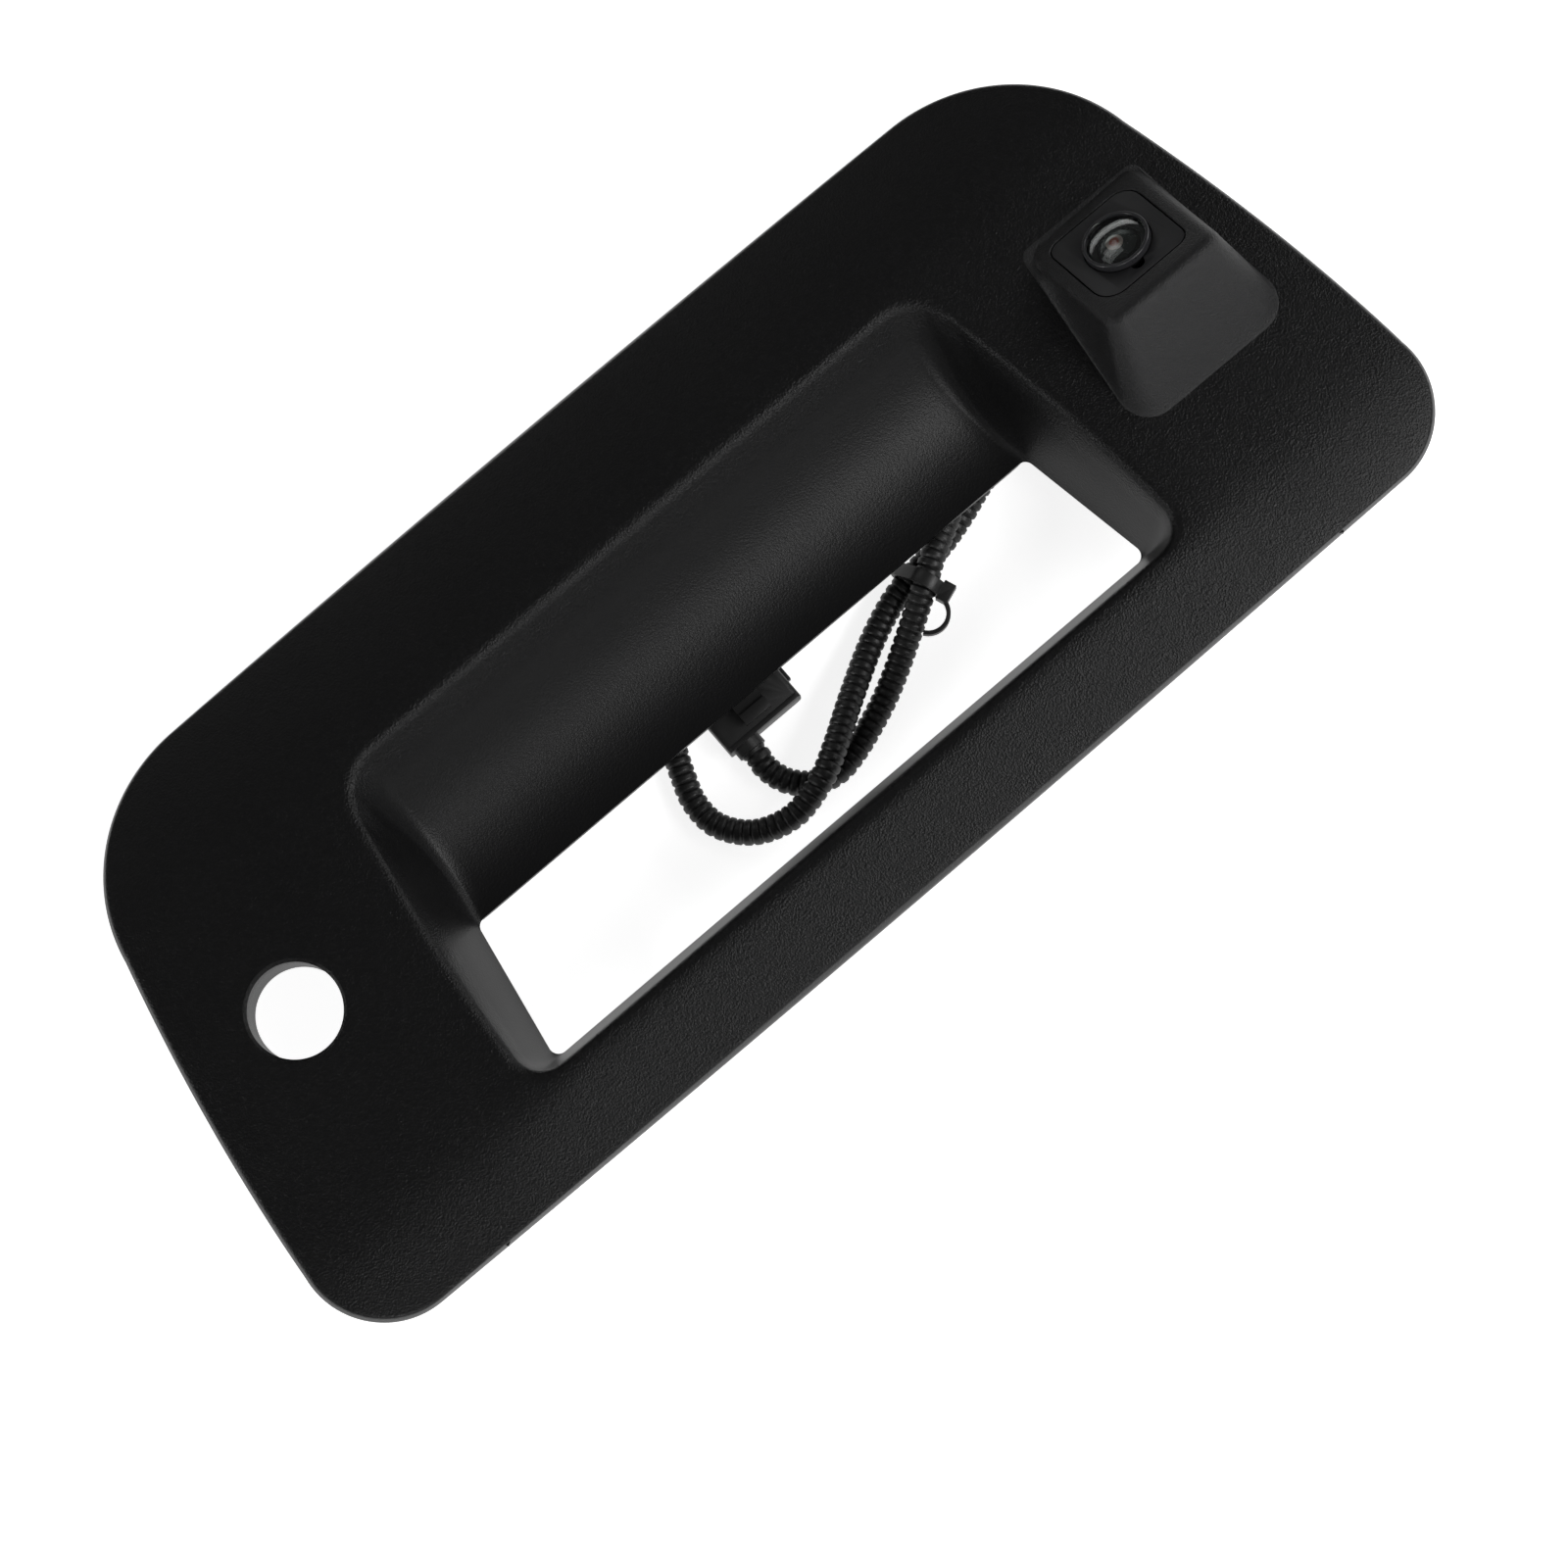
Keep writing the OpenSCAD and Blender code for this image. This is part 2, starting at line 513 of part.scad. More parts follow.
module cable_boot() color([0.05, 0.05, 0.05]) in_pod() turned(
    [[0, -camera_l], [boot_neck_r + 1.4, -camera_l], [boot_neck_r + 1.2, -camera_l - 2.4],
     [boot_neck_r, -camera_l - 3], [boot_neck_r - 0.2, -camera_l - 6], [conduit_d / 2 + 1, boot_end + 2],
     [conduit_d / 2 + 0.7, boot_end], [0, boot_end]]);

// ---- harness ------------------------------------------------------------------
lens_axis = [0, -sin(lens_tilt), cos(lens_tilt)];
conduit_start = [pod_x, pod_y, pod_z] + boot_end * lens_axis;
plug_x = 2.6;
plug_rear = 14.3;
plug_base = 0.1;
plug_exit = [9.2, plug_rear + 4, plug_base + plug_h / 2];
// The way the conduit lies: down to the bench, round under the scoop, a wide and a
// narrow loop in the opening, and into the plug. Chosen by hand.
tie_low = [-50.5, 10.8, 4.9];
tie_high = [-51.8, 14.8, 10.6];
route = concat(
    [conduit_start, conduit_start - 4 * lens_axis, conduit_start - 8.5 * lens_axis],
    [[-138.4, 18.5, 5.6], [-138, 25, 3.6], [-135.6, 32.5, 3.4], [-130, 38, 3.4], [-122, 40, 3.4],
     [-114, 38, 3.4], [-108.3, 32, 3.4], [-106, 24, 3.4], [-105, 16, 3.4], [-102, 8.4, 3.4],
     [-96, 3.4, 3.4], [-88, 2, 3.4], [-80, 3.6, 3.4], [-71.8, 6.4, 3.4], [-63.2, 8.8, 3.4],
     [-57, 9.8, 4], tie_low, [-42.7, 12.4, 4.2], [-32, 16.8, 4.4], [-18.9, 24.3, 7],
     [-7, 31.8, 10], [2.1, 36.4, 10.4], [12.5, 38.3, 8.6], [22.4, 34.8, 5.8], [28.4, 27.2, 4],
     [29.2, 18.9, 3.4], [26.8, 11, 3.4], [23.8, 3.5, 3.4], [21.5, -4, 3.4], [17.5, -11, 3.4],
     [11, -17, 3.4], [2.5, -20.6, 3.4], [-8, -22.4, 3.4], [-20, -23, 3.4], [-33, -23.4, 3.4],
     [-46, -24, 3.4], [-58, -24, 3.4], [-66.5, -22, 3.4], [-73, -16.5, 3.4], [-76, -9, 3.8],
     [-75, -2, 5.4], [-70.5, 3.4, 8], [-64, 7.4, 10], [-57.6, 11, 10.9], tie_high,
     [-45, 19, 8.6], [-37.8, 23.2, 6], [-31, 27, 4.2], [-24.5, 30.2, 3.4], [-17.5, 33, 3.4],
     [-10.5, 35.3, 3.4], [-3.8, 36.4, 3.4], [2.8, 34.6, 3.4], [7.4, 30, 3.4], [9.4, 24.4, 3.7],
     plug_exit + [0, 2.2, 0], plug_exit]);
ring_sides = 10;
function heading(p, i) = unit(p[min(i + 1, len(p) - 1)] - p[max(i - 1, 0)]);
module tube(p, d) {
    n = len(p);
    rings = [for (i = [0:n - 1])
        let (h = heading(p, i), side = unit(cross(h, [0, 0, 1])), up = cross(side, h))
            [for (k = [0:ring_sides - 1]) let (a = 360 * k / ring_sides)
                p[i] + d / 2 * (cos(a) * side + sin(a) * up)]];
    polyhedron(
        points = concat([for (r = rings) each r], [p[0], p[n - 1]]),
        faces = concat(
            [for (i = [0:n - 2], k = [0:ring_sides - 1])
                let (a = i * ring_sides, b = a + ring_sides, m = (k + 1) % ring_sides)
                    each [[a + k, b + k, b + m], [a + k, b + m, a + m]]],
            [for (k = [0:ring_sides - 1]) [n * ring_sides, k, (k + 1) % ring_sides]],
            [for (k = [0:ring_sides - 1]) let (b = (n - 1) * ring_sides)
                [n * ring_sides + 1, b + (k + 1) % ring_sides, b + k]]));
}
module conduit() color([0.09, 0.09, 0.09]) tube(route, conduit_d);

// ---- cable tie ------------------------------------------------------------------
// Its band passes round both strands, with its head and the curl of its tail outside.
tie_turn = 20;      // direction of the strands at the tie
tie_w = 3.6;
tie_r = conduit_d / 2 + 0.5;
tie_across = (tie_high - tie_low) * [-sin(tie_turn), cos(tie_turn), 0];
tie_out = tie_across + tie_r + tie_t;
tail_r = 4.6;
module tie_band(r, w) hull()
    for (p = [[0, tie_low[2]], [tie_across, tie_high[2]]])
        translate([-w / 2, p[0], p[1]]) rotate([0, 90, 0]) cylinder(r = r, h = w, $fn = 32);
module cable_tie() color([0.07, 0.07, 0.07])
    translate([tie_low[0], tie_low[1], 0]) rotate(tie_turn) {
        difference() {
            tie_band(tie_r + tie_t, tie_w);
            tie_band(tie_r, 2 * tie_w);
        }
        translate([-tie_w / 2 - 0.8, tie_out - 0.7, tie_high[2] - 2.3]) cube([tie_w + 1.6, 3.2, 4.6]);
        translate([tie_w / 2 + 5, tie_out - 0.4, tie_high[2] - 1.5]) rotate(15)
            rotate_extrude(angle = 150) translate([tail_r, 0]) square([tie_t, 3]);
    }

// ---- plug -----------------------------------------------------------------------
plug_wall = 1.5;
mate_depth = 8;
rear_depth = 3.2;
plug_front = plug_rear - plug_l;
plug_top = plug_base + plug_h;
pivot_y = plug_rear - 9;
pivot_z = plug_top + 2.2;
pivot_r = 0.8;
latch_w = 8;
latch_t = 1.5;
slot_z = plug_base + 1.4;
slot_h = 1.7;
slot_y = plug_rear - rear_depth - 6.4;
slide_w = 4.6;
slide_l = plug_w * 0.62;
module lying(w, h, l, r, y) translate([plug_x, y + l, plug_base + plug_h / 2]) rotate([90, 0, 0])
    linear_extrude(l) polygon(rounded(rect(w, h), [r, r, r, r], 4));
module plug_housing() color([0.2, 0.2, 0.21]) difference() {
    union() {
        lying(plug_w, plug_h, plug_l, 1.6, plug_front);
        for (s = [-1, 1]) translate([plug_x + s * (latch_w / 2 + 0.35 + 0.7) - 0.7, pivot_y - 2, plug_top - 1])
            cube([1.4, 4, pivot_z + 2.7 - plug_top]);
        for (s = [-1, 1]) translate([plug_x + s * (plug_w / 2 - 5) - 0.6, plug_front, plug_top - 0.6])
            cube([1.2, plug_l - 9, 1.2]);
    }
    lying(plug_w - 2 * plug_wall, plug_h - 2 * plug_wall, mate_depth + 1, 0.8, plug_front - 1);
    lying(plug_w - 2 * plug_wall, plug_h - 2 * plug_wall, rear_depth + 1, 0.8, plug_rear - rear_depth);
    for (i = [1:ways]) translate([way_x(i) - 0.75, plug_front, plug_base + plug_h / 2 - 0.45]) cube([1.5, plug_l, 1.5]);
    translate([plug_x - plug_w / 2 - 1, slot_y - fit_gap, slot_z - fit_gap])
        cube([slide_l + 1 + fit_gap, slide_w + 2 * fit_gap, slot_h + 2 * fit_gap]);
    translate([plug_x - plug_w, pivot_y, pivot_z]) rotate([0, 90, 0]) cylinder(r = pivot_r + 0.06, h = 2 * plug_w);
}
function way_x(i) = plug_x + (i - (ways + 1) / 2) * (plug_w - 2 * plug_wall - 1) / ways;
module terminal(i) color([0.75, 0.68, 0.4])
    translate([way_x(i) - 0.6, plug_front + 2.4, plug_base + plug_h / 2 - 0.35])
        cube([1.2, plug_l - rear_depth - 2.4 - 0.2, 0.7]);
module plug_seal() color([0.6, 0.25, 0.12]) lying(plug_w - 2 * plug_wall - 0.2, plug_h - 2 * plug_wall - 0.2,
    rear_depth, 0.7, plug_rear - rear_depth);
module plug_cap() color([0.12, 0.12, 0.12]) {
    lying(plug_w, plug_h, 1.4, 1.6, plug_rear);
    translate(plug_exit) rotate([90, 0, 0])
        cylinder(r = plug_h / 2 - 0.3, h = plug_exit[1] - plug_rear - 1.4);
}
module plug_latch() color([0.3, 0.3, 0.31]) {
    translate([plug_x - latch_w / 2, pivot_y - 9, pivot_z - latch_t / 2]) cube([latch_w, 17, latch_t]);
    translate([plug_x - latch_w / 2, pivot_y - 9, pivot_z - 1.3]) cube([latch_w, 1.6, 1.3]);
    translate([plug_x - latch_w / 2, pivot_y + 5, pivot_z]) cube([latch_w, 3, 1.5]);
    translate([plug_x - latch_w / 2 - 1.6, pivot_y, pivot_z]) rotate([0, 90, 0]) cylinder(r = pivot_r, h = latch_w + 3.2);
}
module plug_slide() color([0.75, 0.3, 0.1]) {
    difference() {
        translate([plug_x - plug_w / 2, slot_y, slot_z]) cube([slide_l, slide_w, slot_h]);
        for (x = [0, slide_travel]) translate([plug_x + x, slot_y - 0.4, slot_z - 1]) cube([0.8, 0.8, slot_h + 2]);
    }
    translate([plug_x - plug_w / 2 - 1.2, slot_y - 1, slot_z - 0.7]) cube([1, slide_w + 2, slot_h + 1.4]);
    translate([plug_x - plug_w / 2 - 1.2, slot_y, slot_z]) cube([1.4, slide_w, slot_h]);
}

// ---- spring clips ---------------------------------------------------------------
// Each clip hugs the end of its tower, and its leaves catch behind the panel.
module spring_clip(spot_data) color([0.62, 0.6, 0.55]) {
    p = spot(spot_data[0], spot_data[1]);
    inner = tower_t / 2 + 0.05;
    outer = inner + clip_t;
    side = [[outer, 0], [outer, 2.4], [outer + 2.6, 7.4], [outer + 1.4, 10.6], [outer + 0.9, 10.4],
            [outer + 1.9, 7.5], [outer, 3.8], [outer, 13], [inner, 13], [inner, clip_t]];
    translate([p[0], p[1], 0]) rotate(square_in(spot_data[0])) rotate([90, 0, 0])
        translate([0, 0, -clip_w / 2]) linear_extrude(clip_w)
            polygon(concat(side, [for (k = [len(side) - 1:-1:0]) [-side[k][0], side[k][1]]]));
}

// ---- the pieces, each once ---------------------------------------------------------
bezel_shell();
pod_housing();
camera_face();
camera_body();
lens_ring();
lens_dome();
lens_barrel();
lens_inner();
lens_stop();
lens_rear();
image_sensor();
sensor_board();
cable_board();
rear_seal();
rear_cover();
cable_boot();
for (i = [1:4]) camera_screw(ear_spots[i - 1]);
for (i = [1:4]) pod_screw(pod_screw_spots[i - 1]);
for (i = [1:6]) spring_clip(tower_spots[i - 1]);
conduit();
cable_tie();
plug_housing();
plug_seal();
plug_cap();
plug_latch();
plug_slide();
for (i = [1:ways]) terminal(i);
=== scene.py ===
# %% [markdown]
# # A tailgate handle bezel with a backup camera
# The real object is a black moulding that surrounds a tailgate's handle. It has a
# pocket for the hand, a hooded camera at one end, a hole for the lock at the other,
# and a corrugated lead that ends in a plug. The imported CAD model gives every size,
# so we load it first and dress its pieces one by one.

# %% Load the frame
import math

import bpy
from mathutils import Matrix, Vector
from mathutils.bvhtree import BVHTree


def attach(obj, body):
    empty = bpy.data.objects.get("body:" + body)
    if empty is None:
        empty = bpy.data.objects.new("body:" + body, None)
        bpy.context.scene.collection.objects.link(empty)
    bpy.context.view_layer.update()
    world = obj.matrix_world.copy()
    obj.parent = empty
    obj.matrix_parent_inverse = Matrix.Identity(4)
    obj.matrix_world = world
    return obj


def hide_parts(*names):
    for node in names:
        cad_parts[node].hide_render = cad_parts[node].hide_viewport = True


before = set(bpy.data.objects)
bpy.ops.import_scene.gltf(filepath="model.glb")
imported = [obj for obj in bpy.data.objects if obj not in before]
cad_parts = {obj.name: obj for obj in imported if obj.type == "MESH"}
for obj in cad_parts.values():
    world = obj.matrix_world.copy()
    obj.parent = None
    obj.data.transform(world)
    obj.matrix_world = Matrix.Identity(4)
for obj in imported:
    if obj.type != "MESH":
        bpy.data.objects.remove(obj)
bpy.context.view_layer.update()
MM = 0.001


def metres(point):
    """A point or size of our own, which are all in millimetres, as Blender wants it."""
    return [v * MM for v in point]


# %% [markdown]
# ## The camera
# The photograph looks almost straight down on the face with a long lens, turned so
# that the bezel runs from corner to corner. A place, a point to aim at and a roll say
# that in three values; the lens follows from how fast the far end shrinks.

# %% Place the camera
LENS, SENSOR = 98.11, 36.0
CAMERA_PLACE = Vector((0.0739, 0.16042, 1.08424))
CAMERA_AIM = Vector((0.010926, 0.034279, 0.040))
CAMERA_ROLL = 139.2085

camera_data = bpy.data.cameras.new("camera")
camera_data.lens = LENS
camera_data.sensor_width = SENSOR
camera_data.sensor_fit = "AUTO"
camera = bpy.data.objects.new("camera", camera_data)
bpy.context.scene.collection.objects.link(camera)
back = (CAMERA_PLACE - CAMERA_AIM).normalized()
side = Vector((0, 1, 0)).cross(back).normalized()
up = back.cross(side)
turn = math.radians(CAMERA_ROLL)
right = side * math.cos(turn) + up * math.sin(turn)
high = back.cross(right)
axes = Matrix((right, high, back)).transposed()
camera.matrix_world = Matrix.Translation(CAMERA_PLACE) @ axes.to_4x4()
camera_data.clip_end = 20
bpy.context.scene.camera = camera
print("camera looks along", [round(v, 4) for v in -back])

# %% [markdown]
# ## Image points
# A few points read from the photograph, in its frame with the long side at 1568. They
# say where things should show, and the pupil is placed by one of them: a ray from the
# camera through the point meets the surface that carries the piece. Where a side has no
# sharp mark along it, only the x or the y of its outermost place is given.

# %% Points and the ray through one
FRAME = 1568
POINTS = {
    "left": (103, None), "right": (1436.5, None), "top": (None, 82.5), "bottom": (None, 1327),
    "lock_hole": (293, 1010), "lens_ring": (1115, 240), "pupil": (1114.5, 242.5),
    "hood_left": (1021, None), "hood_top": (None, 160), "hood_right": (1279, None),
    "hood_bottom": (None, 414), "opening_left": (478, None), "opening_top": (None, 457.5),
    "opening_bottom": (None, 1053), "opening_right": (1137, None), "lead_low": (None, 844),
}


def ray_through(point):
    """Where the ray through an image point starts, and its direction."""
    x, y = point
    aim = Vector((x - FRAME / 2 + camera_data.shift_x * FRAME,
                  FRAME / 2 - y + camera_data.shift_y * FRAME,
                  -FRAME * camera_data.lens / camera_data.sensor_width))
    return camera.matrix_world.translation, (camera.matrix_world.to_3x3() @ aim).normalized()


def shown_at(place):
    """The image point at which a place shows, the other way round."""
    v = camera.matrix_world.inverted() @ Vector(place)
    scale = -FRAME * camera_data.lens / camera_data.sensor_width / v.z
    return (v.x * scale + FRAME / 2 - camera_data.shift_x * FRAME,
            FRAME / 2 + camera_data.shift_y * FRAME - v.y * scale)


def surface(*pieces):
    """The vertices and faces of some pieces, as one list of each."""
    points, faces = [], []
    for piece in pieces:
        faces += [[len(points) + k for k in face.vertices] for face in piece.data.polygons]
        points += [piece.matrix_world @ v.co for v in piece.data.vertices]
    return points, faces


def place_on(name, *carriers):
    """The place on the carriers that an image point shows, or the one nearest its ray."""
    start, ahead = ray_through(POINTS[name])
    points, faces = surface(*carriers)
    hit = BVHTree.FromPolygons(points, faces).ray_cast(start, ahead)[0]
    return hit or min(points, key=lambda p: ((p - start).cross(ahead)).length)


print("image points:", len(POINTS))

# %% [markdown]
# ## Helpers for lofts
# Most of this moulding changes its section as it goes round, so no primitive comes
# close. We draw its section lines as closed rings and let Blender bridge each ring to
# the next, as a boat is planked. Here are the helpers for that, all in millimetres.

# %% Rings, lofts and clean selections
def lerp(a, b, t):
    return tuple(p + (q - p) * t for p, q in zip(a, b))


def bezier(a, b, c, t):
    return lerp(lerp(a, b, t), lerp(b, c, t), t)


def span(n):
    """n + 1 even steps from 0 to 1."""
    return [k / n for k in range(n + 1)]


def deselect():
    if bpy.context.object and bpy.context.object.mode != "OBJECT":
        bpy.ops.object.mode_set(mode="OBJECT")
    bpy.ops.object.select_all(action="DESELECT")


def pick(*pieces):
    """Selects these pieces alone, the first of them active."""
    deselect()
    for piece in pieces:
        piece.select_set(True)
    bpy.context.view_layer.objects.active = pieces[0]


def settle(piece):
    """Puts a piece's place into its mesh, so that its object sits at the origin."""
    pick(piece)
    bpy.ops.object.transform_apply(location=True, rotation=True, scale=True)
    return piece


def smooth(piece, angle=35):
    pick(piece)
    bpy.ops.object.shade_smooth_by_angle(angle=math.radians(angle))
    return piece


def loft(name, rings, closed=True, caps=False):
    """A skin over rings that all have the same number of points."""
    count = len(rings[0])
    points = [metres(p) for ring in rings for p in ring]
    faces = []
    for i in range(len(rings) if closed else len(rings) - 1):
        a, b = i * count, (i + 1) % len(rings) * count
        for k in range(count):
            m = (k + 1) % count
            faces.append((a + k, a + m, b + m, b + k))
    if caps:
        faces.append(tuple(reversed(range(count))))
        faces.append(tuple(range((len(rings) - 1) * count, len(rings) * count)))
    mesh = bpy.data.meshes.new(name)
    mesh.from_pydata(points, [], faces)
    mesh.update()
    piece = bpy.data.objects.new(name, mesh)
    bpy.context.scene.collection.objects.link(piece)
    outward(piece)
    return piece


def outward(piece):
    """Turns every face's front to the outside."""
    pick(piece)
    bpy.ops.object.mode_set(mode="EDIT")
    bpy.ops.mesh.select_all(action="SELECT")
    bpy.ops.mesh.normals_make_consistent(inside=False)
    bpy.ops.object.mode_set(mode="OBJECT")


def apply_modifier(piece, kind, **settings):
    pick(piece)
    modifier = piece.modifiers.new(kind.lower(), kind)
    for key, value in settings.items():
        setattr(modifier, key, value)
    bpy.ops.object.modifier_apply(modifier=modifier.name)
    return piece


def triangles(piece):
    piece.data.calc_loop_triangles()
    return len(piece.data.loop_triangles)


def stands_for(piece, node, body="bezel"):
    """Rides a piece on a body, in place of a CAD node, whose piece it hides."""
    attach(piece, body)
    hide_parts(node)


# %% [markdown]
# ## The lead
# The camera's lead runs in a black corrugated conduit. Its line is the same as the
# solid's: down behind the hood, along the bench, and in two loops that show through
# the hand opening. The corrugation is the look of it, so the tube is lofted round a
# smooth line with a crest and a groove every few millimetres.

# %% The line of the lead
TILT = math.radians(32.5)
POD = (-138.4, -13.2, 51.8)
LENS_AXIS = (0, -math.sin(TILT), math.cos(TILT))
LEAD_D = 6.8


def behind_lens(distance):
    return tuple(p - a * distance for p, a in zip(POD, LENS_AXIS))


ROUTE = [
    behind_lens(38), behind_lens(42), behind_lens(46.5),
    (-138.4, 18.5, 5.6), (-138, 25, 3.6), (-135.6, 32.5, 3.4), (-130, 38, 3.4),
    (-122, 40, 3.4), (-114, 38, 3.4), (-108.3, 32, 3.4), (-106, 24, 3.4), (-105, 16, 3.4),
    (-102, 8.4, 3.4), (-96, 3.4, 3.4), (-88, 2, 3.4), (-80, 3.6, 3.4), (-71.8, 6.4, 3.4),
    (-63.2, 8.8, 3.4), (-57, 9.8, 4), (-50.5, 10.8, 4.9), (-42.7, 12.4, 4.2),
    (-32, 16.8, 4.4), (-18.9, 24.3, 7), (-7, 31.8, 10), (2.1, 36.4, 10.4), (12.5, 38.3, 8.6),
    (22.4, 34.8, 5.8), (28.4, 27.2, 4), (29.2, 18.9, 3.4), (26.8, 11, 3.4), (23.8, 3.5, 3.4),
    (21.5, -4, 3.4), (17.5, -11, 3.4), (11, -17, 3.4), (2.5, -20.6, 3.4), (-8, -22.4, 3.4),
    (-20, -23, 3.4), (-33, -23.4, 3.4), (-46, -24, 3.4), (-58, -24, 3.4), (-66.5, -22, 3.4),
    (-73, -16.5, 3.4), (-76, -9, 3.8), (-75, -2, 5.4), (-70.5, 3.4, 8), (-64, 7.4, 10),
    (-57.6, 11, 10.9), (-51.8, 14.8, 10.6), (-45, 19, 8.6), (-37.8, 23.2, 6), (-31, 27, 4.2),
    (-24.5, 30.2, 3.4), (-17.5, 33, 3.4), (-10.5, 35.3, 3.4), (-3.8, 36.4, 3.4),
    (2.8, 34.6, 3.4), (7.4, 30, 3.4), (9.4, 24.4, 3.7), (9.2, 20.5, 4.4), (9.2, 18.3, 4.4)]


def smooth_line(points, step):
    """Even points along a Catmull-Rom curve through the given ones."""
    dense = []
    for i in range(len(points) - 1):
        a = Vector(points[max(i - 1, 0)])
        b, c = Vector(points[i]), Vector(points[i + 1])
        d = Vector(points[min(i + 2, len(points) - 1)])
        for k in range(24):
            t = k / 24
            dense.append(0.5 * ((2 * b) + (c - a) * t + (2 * a - 5 * b + 4 * c - d) * t * t
                                + (3 * b - a - 3 * c + d) * t ** 3))
    dense.append(Vector(points[-1]))
    line, left = [dense[0]], step
    for a, b in zip(dense, dense[1:]):
        gap = (b - a).length
        while gap > 1e-9 and left <= gap:
            line.append(a.lerp(b, left / gap))
            a, gap, left = line[-1], gap - left, step
        left -= gap
    return line


def tube_rings(line, radii, sides):
    """Round sections square to a line, turned as little as possible from one to the next."""
    rings, up = [], Vector((0, 0, 1))
    for i, p in enumerate(line):
        ahead = (line[min(i + 1, len(line) - 1)] - line[max(i - 1, 0)]).normalized()
        across = ahead.cross(up).normalized()
        up = across.cross(ahead).normalized()
        rings.append([tuple(p + radii[i] * (across * math.cos(a) + up * math.sin(a)))
                      for a in (2 * math.pi * k / sides for k in range(sides))])
    return rings


RIB_PITCH = 2.35
RIB_STEPS = 8
RIB_DEPTH = 0.5
RIB_FORM = [0] * 5 + [0.55, 1, 0.55]
lead_line = smooth_line(ROUTE, RIB_PITCH / RIB_STEPS)
lead_radii = [LEAD_D / 2 - RIB_DEPTH * RIB_FORM[i % RIB_STEPS] for i in range(len(lead_line))]
lead = loft("lead_conduit", tube_rings(lead_line, lead_radii, 18), closed=False, caps=True)
smooth(lead, 60)
stands_for(lead, "conduit")
lead_length = sum((b - a).length for a, b in zip(lead_line, lead_line[1:])) * MM
print("lead", round(lead_length, 4), "m long,", triangles(lead), "triangles")

# %% [markdown]
# ## The bezel's plan
# Three closed lines drive the whole moulding: its outline, the rim of the pocket and
# the edge of the hand opening. Each is four sides with rounded corners, drawn for the
# right half and mirrored. They carry the same number of stations, so station 40 of one
# belongs to station 40 of the others. We draw them four times as finely as the solid.

# %% Three closed lines
FINE = 4
EDGE_STEPS, LOW_STEPS, END_STEPS, TOP_STEPS = 8 * FINE, 12 * FINE, 11 * FINE, 7 * FINE
HALF = 2 * EDGE_STEPS + LOW_STEPS + END_STEPS + TOP_STEPS
STATIONS = 2 * HALF


def half_loop(xb, xt, yb, yt, rb, rt, bow, mid_bow):
    """Right half of a loop. xb and xt are its square corners below and above."""
    lean = math.atan2(yt - yb, xt - xb)
    along = (math.cos(lean), math.sin(lean))
    lb, lt = rb * math.tan(lean / 2), rt * math.tan(math.pi / 2 - lean / 2)
    p0 = (xb + lb * along[0], yb + lb * along[1])
    p1 = (xt - lt * along[0], yt - lt * along[1])
    points = [((xb - lb) * t, yb - mid_bow * (1 - t * t)) for t in span(EDGE_STEPS)[:-1]]
    for t in span(LOW_STEPS)[:-1]:
        a = -math.pi / 2 + lean * t
        points.append((xb - lb + rb * math.cos(a), yb + rb + rb * math.sin(a)))
    for t in span(END_STEPS)[:-1]:
        x, y = lerp(p0, p1, t)
        out = bow * 4 * t * (1 - t)
        points.append((x + out * along[1], y - out * along[0]))
    for t in span(TOP_STEPS)[:-1]:
        a = lean - math.pi / 2 + (math.pi - lean) * t
        points.append((xt - lt + rt * math.cos(a), yt - rt + rt * math.sin(a)))
    points += [((xt - lt) * (1 - t), yt + mid_bow * (1 - (1 - t) ** 2))
               for t in span(EDGE_STEPS)]
    return points


def mirrored(half):
    return half + [(-x, y) for x, y in half[-2:0:-1]]


BEZEL_L, BEZEL_H, END_TAPER, LOW_R, TOP_R = 358, 154, 27, 46, 22
EDGE_Y = BEZEL_H / 2 - 1
end_lean = math.atan2(2 * EDGE_Y, END_TAPER)
top_x = BEZEL_L / 2 - TOP_R + TOP_R * math.tan(math.pi / 2 - end_lean / 2)
outline = mirrored(half_loop(top_x - END_TAPER, top_x, -EDGE_Y, EDGE_Y, LOW_R, TOP_R, 1.8, 1))
RIM_TOP, RIM_H, RIM_L, RIM_TAPER = 51.8, 90.4, 213, 11.5
rim = mirrored(half_loop(RIM_L / 2 - RIM_TAPER, RIM_L / 2, RIM_TOP - RIM_H, RIM_TOP,
                         14, 9, 1.2, 0))
OPEN_TOP, OPEN_H, OPEN_L, OPEN_TAPER = 47, 39, 196, 6.9
opening = mirrored(half_loop(OPEN_L / 2 - OPEN_TAPER, OPEN_L / 2, OPEN_TOP - OPEN_H, OPEN_TOP,
                             2.6, 2.6, 0, 0))
print("stations:", len(outline), len(rim), len(opening))

# %% [markdown]
# ## The bezel's surface
# From the edge the face rises in a soft crown to the pocket's rim, rolls over it and
# falls to the opening. In the middle below the opening it falls fast, which makes the
# scoop for the fingers; at the ends and above it falls evenly. Edge and rim are rolled,
# because a moulding has no sharp edge that a hand can reach.

